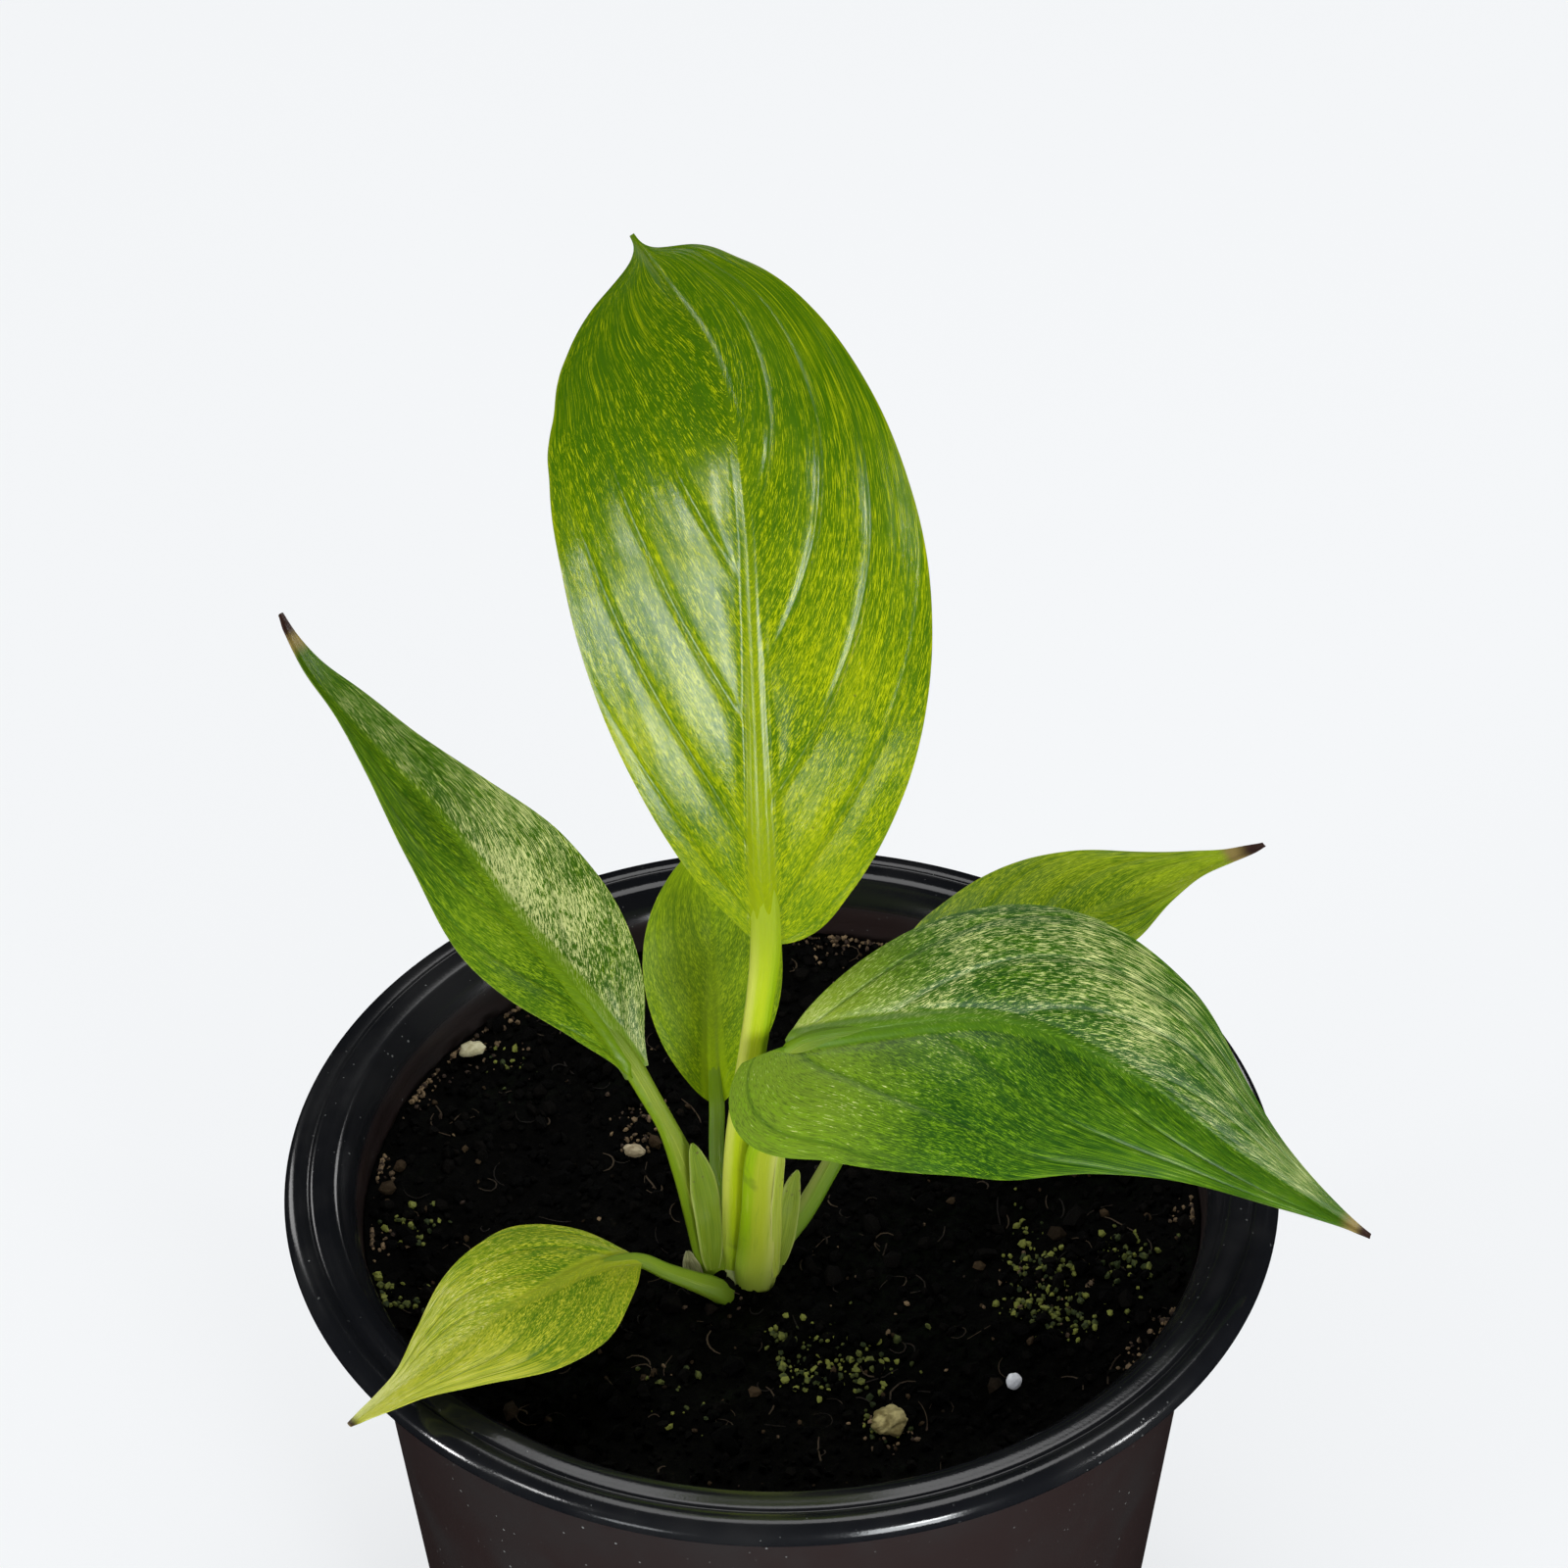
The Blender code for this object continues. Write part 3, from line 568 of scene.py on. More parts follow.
def leaf_finish(name, deep, fresh, pale, cream, rough, shine, dark_end=0.0, tip=(1.0, 1.0),
                heel=(0.0, 0.0), seed=0.0):
    """deep, fresh and pale are the greens; cream gives how much of the left and right halves is
    streaked; shine is the strength of the reflection; dark_end deepens the outer end; tip is where
    the dry tip starts and where it is fully brown; heel is how pale the left and right halves are
    where they meet the stalk."""
    f = Finish(name)
    along, across, away, vein, phase, under = map(
        f.field, ("along", "across", "away", "vein", "phase", "under"))
    half = f.times_plus(f.maths("SIGN", across), 3.7, 5.0 + seed)
    streak_at = f.join(f.times(vein, 0.8), f.times(away, 0.5), half)
    run = f.times_plus(along, 24.0, f.times(away, 0.8))
    fleck_at = f.join(f.times(vein, 2.4), run, half)
    streaks = f.noise(streak_at, 1.0, 5.0, 0.7)
    flecks = f.noise(fleck_at, 1.5, 3.0, 0.7)
    patches = f.noise(f.place(), 75.0, 3.0, 0.55)
    pebble = f.noise(f.place(), 2600.0, 2.0, 0.6)
    outward = f.ramp(along, 0.35, 0.95, 0.0, dark_end)
    lean = f.times_plus(patches, 0.4, f.times(streaks, 0.25))
    lean = f.times_plus(flecks, 0.35, lean)
    colour = f.mix(f.ramp(f.minus(lean, outward), 0.36, 0.58), deep, fresh)
    yellow = f.times_plus(streaks, 0.3, f.times(flecks, 0.5))
    yellow = f.times_plus(patches, 0.2, yellow)
    colour = f.mix(f.ramp(f.minus(yellow, outward), 0.46, 0.64), colour, pale)
    colour = f.mix(f.times(outward, 4.5), colour, shade(deep, 0.8))
    heel_share = f.ramp(across, -0.12, 0.12, *heel)
    colour = f.mix(f.times(f.ramp(along, 0.26, 0.03), heel_share), colour, HEEL)
    dark_fleck = f.ramp(f.times_plus(patches, 0.25, flecks), 0.60, 0.52, 0.0, 0.5)
    colour = f.mix(dark_fleck, colour, shade(deep, 0.75))
    light_fleck = f.times_plus(streaks, 0.4, f.minus(flecks, f.times(outward, 0.25)))
    light_fleck = f.ramp(light_fleck, 0.73, 0.79, 0.0, 0.8)
    colour = f.mix(light_fleck, colour, shade(pale, 1.25))
    share = f.ramp(across, -0.12, 0.12, *cream)
    cream_at = f.times_plus(flecks, 0.85, f.times(streaks, 0.15))
    cream_at = f.plus(f.plus(cream_at, share), f.times_plus(patches, 0.3, -0.15))
    cream_at = f.minus(cream_at, outward)
    colour = f.mix(f.ramp(cream_at, 0.57, 0.63, 0.0, 0.9), colour, CREAM)
    nearest = f.maths("ABSOLUTE", f.minus(phase, f.maths("ROUND", phase)))
    # Painted shade: the sunken vein grooves are darkened towards the deep green, as shade falls in
    # them.
    groove = f.times(f.ramp(nearest, 0.07, 0.0), f.ramp(away, 0.8, 2.5))
    colour = f.mix(f.times(groove, GROOVE_SHADE), colour, deep)
    rib_edge = f.ramp(along, 0.0, 0.75, 2.1, 0.7)
    rib = f.times(f.maths("LESS_THAN", away, rib_edge), f.ramp(along, 0.8, 0.1, 0.1, 0.8))
    rib = f.times(rib, f.ramp(f.minus(rib_edge, away), 0.0, 0.5))
    colour = f.mix(rib, colour, f.mix(RIB_TINT, fresh, pale))
    margin = f.ramp(f.maths("ABSOLUTE", across), 0.975, 0.998, 0.0, 0.3)
    colour = f.mix(margin, colour, pale)
    dull = f.mix(f.ramp(streaks, 0.3, 0.7), shade(deep, 0.75, 0.03), shade(pale, 0.8, 0.04))
    colour = f.mix(f.times(under, UNDER_SHARE), colour, dull)
    if tip[0] < 1:
        start = f.times_plus(flecks, 0.04, f.minus(along, 0.02))
        dry = f.mix(f.ramp(start, tip[0] + 0.015, tip[1]), DRY, DEAD)
        colour = f.mix(f.ramp(start, tip[0] - 0.02, tip[0] + 0.012), colour, dry)
    specks = f.ramp(f.cells(f.place(), 420.0), 0.10, 0.05, 0.0, 0.5)
    specks = f.times(specks, f.ramp(f.noise(f.place(), 150.0, 1.0), 0.6, 0.7))
    colour = f.mix(specks, colour, SPECK)
    sheen = f.ramp(streaks, 0.35, 0.65, rough + 0.06, rough - 0.04)
    normal = f.bump(pebble, 0.4, 0.00003, f.bump(flecks, 0.4, 0.00004))
    return f.finish(colour, sheen, normal, Specular_IOR_Level=shine)


LEAF_COLOURS = {
    "tall_centre": (
        (0.050, 0.130, 0.0005), (0.150, 0.235, 0.001), (0.31, 0.35, 0.003), (-0.13, -0.12),
        dict(dark_end=0.13, rough=0.15, shine=0.42, heel=(0.3, 0.3))),
    "left": (
        (0.028, 0.09, 0.0005), (0.07, 0.17, 0.001), (0.20, 0.30, 0.008), (-0.12, 0.08),
        dict(dark_end=0.10, tip=(0.93, 0.97), rough=0.30, shine=0.22, seed=2.0)),
    "rear": (
        (0.10, 0.20, 0.001), (0.20, 0.33, 0.001), (0.28, 0.38, 0.004), (-0.12, -0.10),
        dict(rough=0.42, shine=0.15, seed=4.0)),
    "right_front": (
        (0.011, 0.060, 0.0005), (0.026, 0.105, 0.001), (0.115, 0.225, 0.003), (0.035, -0.065),
        dict(tip=(0.955, 0.985), rough=0.34, shine=0.25, heel=(0.85, 0.5), seed=6.0)),
    "right_rear": (
        (0.06, 0.15, 0.0005), (0.14, 0.24, 0.001), (0.27, 0.35, 0.008), (-0.12, -0.08),
        dict(dark_end=-0.06, tip=(0.90, 0.965), rough=0.30, shine=0.2, seed=8.0)),
    "low_front": (
        (0.065, 0.18, 0.001), (0.20, 0.30, 0.002), (0.46, 0.47, 0.03), (-0.10, -0.04),
        dict(dark_end=-0.12, tip=(0.985, 0.999), rough=0.30, shine=0.25, seed=10.0)),
}
LEAF_LOOKS = {
    key: leaf_finish("leaf_" + key, *colours, **more)
    for key, (*colours, more) in LEAF_COLOURS.items()
}
print("leaf finishes:", len(LEAF_LOOKS))

# %% [markdown]
# ## The blades
# Now the surface, the veins and the finish come together. The two big leaves get the finest grids,
# because their grooves, two millimetres wide, have to be real dents and not a trick of the
# shading.

# %% Make the blades
BLADE_GRIDS = {
    "tall_centre": (300, 150), "right_front": (280, 150), "left": (240, 110),
    "right_rear": (200, 90), "low_front": (180, 100), "rear": (150, 80),
}
for key, (rows, columns) in BLADE_GRIDS.items():
    make_blade(
        "leaf_" + key, BLADES[key], LEAF_LOOKS[key], rows, columns,
        stands_for=("blade_" + key,), slot="leaf_" + key)

# %% [markdown]
# ## Stalks
# Each leaf stands on a fleshy stalk, oval in section with a shallow channel in front, and pale
# ridges down its sides. It widens to a foot that clasps the crown, and at the top it runs on
# behind the blade as the midrib. A curve with a bevel could not make the channel, so the oval is
# carried along the stalk's line.


# %% Stalk surface
def stalk_line(stations, blade, reach):
    """The stalk's stations, then points just behind the blade's midrib, thinning to a thread."""
    shares = np.array([0.25, 0.5, 0.75, 1.0]) * reach
    centre, along, _ = along_line(blade["midrib"], shares)
    up = square_to(through(TURN_AT, blade["face"], shares), along)
    wide, deep = stations[-1][3:]
    thin = np.array([0.95, 0.8, 0.6, 0.3])[:, None]
    behind = centre - up * deep * np.array([0.5, 0.75, 0.75, 0.55])[:, None]
    return np.concatenate((stations, np.hstack((behind, wide * thin, deep * thin))))


def stalk_rings(points, face, channel, rows=150, around=44):
    """Oval sections: centre + side * half-width * cos(a) + front * half-depth * sin(a). The front
    is dented by the share channel of its depth, with a bell curve 35 degrees wide."""
    t = np.linspace(0, 1, rows)
    line, along, length = along_line(points, t)
    centre, wide, deep = line[:, :3], line[:, 3:4], line[:, 4:5]
    front = square_to(through((0.0, 0.6, 1.0), face, t), along)
    side = np.cross(along, front)
    a = round_angles(around)
    dent = 1 - channel * np.exp(-(((a - np.pi / 2) / np.radians(35)) ** 2))
    ridge = 1 + 0.018 * np.cos(7 * a) + 0.012 * np.cos(13 * a + 1)
    across = (np.cos(a) * ridge)[None, :, None] * wide[:, None]
    out = (np.sin(a) * dent * ridge)[None, :, None] * deep[:, None]
    lumps = 1 + 0.02 * lattice_noise(t[:, None] * length / 5, a[None] * 0.8, 3)[..., None]
    rings = centre[:, None] + side[:, None] * across * lumps + front[:, None] * out * lumps
    t = t[:, None]
    fields = {"rise": t * length, "share": t, "turn_x": np.cos(a), "turn_y": np.sin(a)}
    return rings, {key: np.broadcast_to(v, (rows, around)) for key, v in fields.items()}


# %% [markdown]
# ## The fleshy stalk finish
# A stalk is yellow-green with pale ridges. Its colour is lighter on one side and darker on the
# other: painted light and painted shade. Each point knows how far round and how far up it is, so
# noise squeezed round and stretched along the stalk gives lengthwise streaks. Painting each stalk
# by hand would give the same, for far more work.

# %% Stalk finish
STREAK_PALE, STREAK_GREEN, BLOTCH = (0.52, 0.56, 0.10), (0.10, 0.21, 0.01), (0.07, 0.10, 0.02)
STALK_ROUGH = 0.36


def stalk_finish(name, left, middle, right, foot, top, seed):
    """Colour across the front from left to middle to right, a foot colour near the soil, the
    blade's green from the top on, and fine lengthwise streaks. The left and right colours are
    painted light on one side of the stalk and painted shade on the other. turn_x is -1 on the left
    and 1 on the right."""
    f = Finish(name)
    rise, share, turn_x, turn_y = map(f.field, ("rise", "share", "turn_x", "turn_y"))
    fine_at = f.join(f.times(turn_x, 5.0), f.times(rise, 0.07), f.times_plus(turn_y, 2.0, seed))
    fine = f.noise(fine_at, 1.5, 5.0, 0.65)
    blotch = f.noise(f.place(), 160.0, 3.0, 0.6)
    # Painted light and shade: the colour runs from the left colour through the middle one to the
    # right one, lit on one side of the stalk and shaded on the other.
    painted_side_light = f.times_plus(fine, 0.5, f.minus(turn_x, 0.25))
    colour = f.mix(f.ramp(painted_side_light, -0.75, -0.2), left, middle)
    colour = f.mix(f.ramp(painted_side_light, 0.1, 0.75), colour, right)
    colour = f.mix(f.ramp(fine, 0.55, 0.75, 0.0, 0.5), colour, STREAK_PALE)
    colour = f.mix(f.ramp(fine, 0.42, 0.28, 0.0, 0.45), colour, STREAK_GREEN)
    colour = f.mix(f.ramp(share, 0.16, 0.0, 0.0, 0.85), colour, foot)
    colour = f.mix(f.ramp(blotch, 0.62, 0.72, 0.0, 0.35), colour, BLOTCH)
    colour = f.mix(f.ramp(share, 0.42, 0.54, 0.0, 0.85), colour, top)
    normal = f.bump(fine, 0.5, 0.0003)
    sheen = f.ramp(fine, 0.3, 0.7, STALK_ROUGH + 0.06, STALK_ROUGH - 0.05)
    return f.finish(colour, sheen, normal, Specular_IOR_Level=0.3)


# %% [markdown]
# ## Placing the stalks
# Stations are x, y, z, half-width and half-depth in mm, from below the soil to the blade. The face
# turns with the blade, reach is how far the midrib runs up behind it, and the colours are those of
# the left, the middle, the right, the foot and the top. The left and right colours paint the light
# on one side of each stalk and the shade on the other.

# %% Make the stalks
STALKS = {
    "tall_centre": {
        "line": (
            (-5.6, -13.2, 89.5, 1.9, 1.8), (-5.8, -13.2, 94.0, 1.9, 1.7),
            (-5.8, -13.1, 103.6, 1.85, 1.6), (-5.2, -12.9, 114.6, 1.8, 1.5),
            (-3.3, -12.4, 129.6, 1.7, 1.4), (-2.3, -12.1, 137.5, 1.75, 1.4),
            (-1.6, -12.0, 144.6, 1.9, 1.3),
        ),
        "face": ((0, -1, 0.1), (0, -1, 0.05), (0, -1, 0.3)),
        "reach": 0.62, "channel": 0.2,
        "colours": (
            (0.46, 0.50, 0.07), (0.36, 0.45, 0.005), (0.23, 0.36, 0.001), (0.22, 0.36, 0.01),
            (0.24, 0.32, 0.004),
        ),
    },
    "right_front": {
        "line": (
            (-3.6, -14.4, 89.5, 2.3, 2.1), (-3.5, -14.6, 92.5, 2.75, 2.2),
            (-3.1, -15.0, 97.0, 2.75, 2.0), (-2.6, -15.1, 105.0, 2.55, 1.7),
            (-2.2, -15.4, 113.5, 2.3, 1.5), (-0.6, -15.9, 122.0, 1.7, 1.4),
            (0.2, -16.2, 128.0, 1.4, 1.25), (1.2, -15.8, 131.4, 1.3, 1.1),
        ),
        "face": ((0, -1, 0.2), (0, -1, 0.2), (0, -0.6, 0.8)),
        "reach": 0.55, "channel": 0.1,
        "colours": (
            (0.24, 0.38, 0.004), (0.32, 0.38, 0.02), (0.44, 0.46, 0.11), (0.24, 0.32, 0.04),
            (0.06, 0.14, 0.003),
        ),
    },
    "left": {
        "line": (
            (-7.8, -13.2, 90.0, 2.5, 1.8), (-8.7, -12.9, 94.0, 2.6, 1.6),
            (-10.2, -12.0, 100.1, 2.3, 1.4), (-12.3, -11.0, 108.3, 1.75, 1.2),
            (-14.5, -10.2, 114.8, 1.25, 1.1), (-16.9, -9.5, 120.2, 1.3, 1.1),
            (-18.0, -9.1, 122.6, 1.35, 1.0),
        ),
        "face": ((0.2, -1, 0.2), (0.5, -0.8, 0.5), (0.6, -0.75, 0.6)),
        "reach": 0.6, "channel": 0.15,
        "colours": (
            (0.15, 0.24, 0.006), (0.21, 0.28, 0.014), (0.18, 0.26, 0.016), (0.15, 0.25, 0.01),
            (0.10, 0.18, 0.004),
        ),
    },
    "right_rear": {
        "line": (
            (-2.2, -12.6, 90.5, 1.9, 1.6), (-0.9, -10.9, 93.3, 1.7, 1.4),
            (2.8, -8.8, 98.0, 1.45, 1.2), (6.2, -6.5, 103.5, 1.3, 1.15),
            (11.8, -3.0, 113.3, 1.15, 1.05), (17.0, 0.6, 119.9, 1.15, 1.0),
        ),
        "face": ((0.4, -1, 0.4), (-0.2, -0.6, 0.8), (-0.2, -0.35, 1)),
        "reach": 0.5, "channel": 0.15,
        "colours": (
            (0.27, 0.33, 0.06), (0.16, 0.27, 0.01), (0.11, 0.21, 0.008), (0.19, 0.26, 0.04),
            (0.18, 0.27, 0.003),
        ),
    },
    "rear": {
        "line": (
            (-7.0, -11.0, 90.5, 1.3, 1.2), (-7.9, -7.0, 97.5, 1.1, 1.0),
            (-8.4, -3.0, 103.3, 1.0, 0.95), (-8.3, 0.7, 107.8, 1.0, 0.9),
        ),
        "face": ((0, -1, 0.6), (0, -1, 0.3), (0, -1, 0.2)),
        "reach": 0.5, "channel": 0.1,
        "colours": (
            (0.10, 0.19, 0.004), (0.12, 0.21, 0.004), (0.10, 0.19, 0.004), (0.08, 0.14, 0.004),
            (0.15, 0.26, 0.002),
        ),
    },
    "low_front": {
        "line": (
            (-7.2, -16.6, 90.6, 1.7, 1.4), (-8.8, -17.2, 92.6, 1.6, 1.3),
            (-11.8, -17.6, 94.6, 1.3, 1.1), (-14.9, -17.6, 96.2, 1.1, 0.95),
            (-17.5, -17.3, 97.6, 1.0, 0.9),
        ),
        "face": ((0, -0.4, 1), (0, -0.3, 1), (0, -0.1, 1)),
        "reach": 0.6, "channel": 0.15,
        "colours": (
            (0.15, 0.25, 0.01), (0.19, 0.29, 0.012), (0.15, 0.25, 0.01), (0.12, 0.20, 0.01),
            (0.22, 0.30, 0.01),
        ),
    },
}
for number, (key, plan) in enumerate(STALKS.items()):
    look = stalk_finish("stalk_" + key, *plan["colours"], seed=3.0 * number)
    line = stalk_line(plan["line"], BLADES[key], plan["reach"])
    rings, fields = stalk_rings(line, plan["face"], plan["channel"])
    tube_piece("petiole_" + key, rings, look, fields=fields,
               stands_for=("stalk_" + key,), slot="stalk_" + key)

# %% [markdown]
# ## Sheaths, the crown and a dry scale
# At its foot each stalk opens into a thin papery wing that wraps the next one. They use the blade
# surface at a small size, with no veins. The crown they all grow from is a short knob, mostly
# buried.

# %% Sheath shapes
def wing(face, fold, edge_left, edge_right, midrib, left, right):
    """The same figures as a leaf's. The face and the angles hold all along."""
    return {
        "midrib": midrib, "face": (face,) * 4, "left": left, "right": right, "swept": (0, 0, 0.1),
        "fold": ((fold,) * 4,) * 2, "edge": ((edge_left,) * 4, (edge_right,) * 4),
    }


WINGS = {
    "sheath_left": wing(
        (0.2, -1, 0.3), 4, 10, -14,
        ((-8.9, -14.6, 93.5), (-9.3, -13.7, 101.0), (-10.2, -12.9, 108.0), (-11.2, -12.5, 113.6)),
        (1.0, 1.2, 1.5, 1.7, 1.8, 1.8, 1.6, 1.2, 0.9, 0.6, 0.2),
        (0.8, 1.0, 1.3, 1.6, 1.8, 1.9, 1.8, 1.4, 1.0, 0.6, 0.2)),
    "sheath_centre": wing(
        (0.8, -1, 0.2), 0, -16, -16,
        ((-0.9, -16.0, 93.5), (-0.6, -16.1, 102.0), (-0.3, -16.2, 110.0), (0.2, -16.3, 117.0)),
        (0.4, 0.5, 0.7, 0.9, 1.0, 1.0, 0.9, 0.8, 0.7, 0.5, 0.3),
        (0.4, 0.5, 0.6, 0.7, 0.8, 0.8, 0.8, 0.7, 0.6, 0.5, 0.3)),
    "sheath_right_rear": wing(
        (0.3, -1, 0.3), 4, 10, 10,
        ((-0.4, -13.4, 93.0), (0.6, -12.4, 97.8), (1.4, -11.4, 102.6), (2.0, -10.6, 107.0)),
        (0.8, 1.0, 1.3, 1.6, 1.8, 1.9, 1.8, 1.5, 1.1, 0.7, 0.2),
        (0.6, 0.8, 1.0, 1.2, 1.2, 1.1, 1.0, 0.8, 0.6, 0.5, 0.2)),
    "dry_scale": wing(
        (0.2, -1, 0.4), 6, 20, 20,
        ((-10.6, -15.2, 91.6), (-11.6, -14.5, 93.6), (-12.2, -13.6, 95.8)),
        (0.4, 0.7, 1.0, 1.2, 1.3, 1.2, 1.0, 0.8, 0.6, 0.4, 0.2),
        (0.4, 0.6, 0.8, 1.0, 1.1, 1.1, 0.9, 0.7, 0.6, 0.4, 0.2)),
}


def make_wing(name, shape, look, stands_for, thickness=0.22, rows=90, columns=26):
    """Closed thin wing: the middle surface crinkled by noise, half the thickness to each side of
    it."""
    t, s = np.meshgrid(np.linspace(0, 1, rows), np.linspace(-1, 1, columns), indexing="ij")
    middle, width, length = blade_frame(shape, t, s)
    normal = grid_normals(middle)
    crinkle = 0.12 * lattice_noise(s * 3, t * length / 2.5, 8)
    crinkle = crinkle + 0.05 * lattice_noise(s * 9, t * length / 6, 9)
    thin = thickness * (1 - 0.6 * s**4) / 2
    upper = middle + normal * (crinkle + thin)[..., None]
    lower = middle + normal * (crinkle - thin)[..., None]
    fields = {"along": there_and_back(t, t), "across": there_and_back(s, s)}
    return tube_piece(name, there_and_back(upper, lower), look, fields=fields,
                      stands_for=(stands_for,), slot=stands_for, sharp=80)


# %% [markdown]
# ## The papery finish
# A sheath is thin enough for its lengthwise veins to show, and its edge dries pale. The veins are
# noise squeezed across the wing. Modelling them would cost many faces for almost no height.

# %% Sheath and scale finishes
def wing_finish(name, light, dark, edge, rough=0.45):
    """Lengthwise veins from stretched noise, a paler edge, and a few brown dots."""
    f = Finish(name)
    along, across = f.field("along"), f.field("across")
    lines = f.noise(f.join(f.times(across, 6.0), f.times(along, 1.2)), 1.5, 4.0, 0.6)
    colour = f.mix(f.ramp(lines, 0.35, 0.65), dark, light)
    colour = f.mix(f.ramp(f.maths("ABSOLUTE", across), 0.75, 0.98, 0.0, 0.8), colour, edge)
    dots = f.ramp(f.cells(f.place(), 900.0), 0.22, 0.12)
    dots = f.times(dots, f.ramp(along, 0.5, 0.9, 0.0, 0.7))
    colour = f.mix(dots, colour, (0.09, 0.06, 0.03))
    return f.finish(colour, rough, f.bump(lines, 0.5, 0.0002))


WING_PIECES = {
    "sheath_left": ("membrane_left", (0.20, 0.28, 0.012), (0.13, 0.22, 0.004), (0.34, 0.40, 0.09)),
    "sheath_centre": (
        "membrane_centre", (0.36, 0.42, 0.06), (0.28, 0.36, 0.02), (0.48, 0.50, 0.15)),
    "sheath_right_rear": (
        "membrane_right_rear", (0.26, 0.34, 0.03), (0.16, 0.24, 0.01), (0.38, 0.43, 0.11)),
    "dry_scale": ("papery_scale", (0.33, 0.34, 0.14), (0.13, 0.12, 0.04), (0.42, 0.40, 0.22), 0.6),
}
for key, (name, *colours) in WING_PIECES.items():
    make_wing(name, WINGS[key], wing_finish(key, *colours), key)

# %% [markdown]
# ## The crown
# All the stalks grow from one short knob of tissue, mostly buried. It only shows between the feet
# of the stalks, so a lobed and slightly lumpy egg is enough.

# %% Crown
CROWN_X, CROWN_Y, CROWN_HALF_WIDTH, CROWN_HALF_DEPTH = -5.2, -13.2, 4.6, 3.2
CROWN_BASE, CROWN_HEIGHT = 81.5, 12.0
t, a = np.meshgrid(np.linspace(0, 1, 60), round_angles(72), indexing="ij")
lobes = 1 + 0.05 * np.cos(5 * a + 6 * t) + 0.03 * lattice_noise(a * 2, t * 9, 4)
swell = np.sin(np.pi * (0.06 + 0.86 * t)) ** 0.6 * lobes
crown = np.stack((
    CROWN_X + CROWN_HALF_WIDTH * swell * np.cos(a),
    CROWN_Y + CROWN_HALF_DEPTH * swell * np.sin(a),
    CROWN_BASE + CROWN_HEIGHT * t,
), -1)
f = Finish("crown_tissue")
mottle = f.noise(f.place(), 260.0, 4.0, 0.6)
colour = f.mix(f.ramp(mottle, 0.35, 0.65), (0.20, 0.26, 0.05), (0.38, 0.42, 0.16))
f.finish(colour, 0.5, f.bump(mottle, 0.5, 0.0004))
tube_piece("stem_base", crown, f.material, stands_for=("crown",), slot="crown_tissue")

# %% [markdown]
# ## The pot
# A nursery pot is vacuum-formed or moulded from black polypropylene: a thin tapering wall and a
# rolled rim with a crease on top. Its section is one closed line, so it is turned round the axis
# as a lathe would. Only a few section points are given, and the smooth line through them makes the
# round rolls.

# %% Pot section
WALL_TOP_OUT, BASE_OUT, WALL = 56.8, 48.0, 1.0  # outer radii at the rim and at the base, thickness
FLOOR_TOP, RIM_UNDER = 1.6, 97.0  # heights, mm
POT_SIDES = 288


def inner_radius(z):
    """Radius of the pot's inner wall at the height z, mm."""
    return BASE_OUT + (WALL_TOP_OUT - BASE_OUT) * z / RIM_UNDER - WALL


def smooth_section(points, count):
    """count points on the smooth line through the given radius and height pairs."""
    points = np.asarray(points, float)
    chord = chord_sums(points)
    return through(chord, points, np.linspace(0, chord[-1], count))


rim = smooth_section((
    (inner_radius(93.5), 93.5), (inner_radius(96.0), 96.0), (inner_radius(97.0) + 0.7, 97.6),
    (57.6, 98.9), (58.3, 99.65), (59.3, 99.97), (60.4, 99.93), (61.2, 99.82), (61.6, 99.62),
    (62.0, 99.83), (62.7, 99.98), (63.5, 99.9), (64.3, 99.45), (64.85, 98.7), (65.0, 97.9),
    (64.75, 97.15), (64.1, 96.8),
), 110)
line_z = np.linspace(95.6, 2.2, 90)
outer = BASE_OUT + (WALL_TOP_OUT - BASE_OUT) * line_z / RIM_UNDER
outer = outer + 0.16 * np.exp(-(((line_z - 88.0) / 0.35) ** 2))  # a moulded bead
outer = outer - 0.1 * np.exp(-(((line_z - 86.8) / 0.6) ** 2))  # and the shallow groove under it
section = np.concatenate((
    np.linspace((0.02, FLOOR_TOP), (inner_radius(FLOOR_TOP) - 1.2, FLOOR_TOP), 14),
    smooth_section((
        (inner_radius(FLOOR_TOP) - 0.7, 1.65), (inner_radius(3) - 0.2, 2.1),
        (inner_radius(3.2), 3.2),
    ), 6),
    np.linspace((inner_radius(6), 6.0), (inner_radius(92), 92.0), 40),
    rim,
    smooth_section(((63.3, 96.72), (60.0, 96.7), (58.0, 96.66), (57.2, 96.3), (56.75, 95.75)), 16),
    np.stack((outer, line_z), -1),
    smooth_section(((48.15, 1.2), (47.8, 0.45), (47.1, 0.05)), 6),
    np.linspace((46.4, 0.0), (0.02, 0.0), 14),
))
a = round_angles(POT_SIDES)
radius, height = section[:, :1], section[:, 1:]
pot = np.stack((radius * np.cos(a), radius * np.sin(a), height + 0 * a), -1)
print("pot section points:", len(section))

# %% [markdown]
# ## Black moulded plastic
# Polypropylene is near black with a satin shine. The rolled rim is polished by handling and
# sharper in its reflections than the wall. Potting leaves pale dust specks on it, densest in the
# crease.

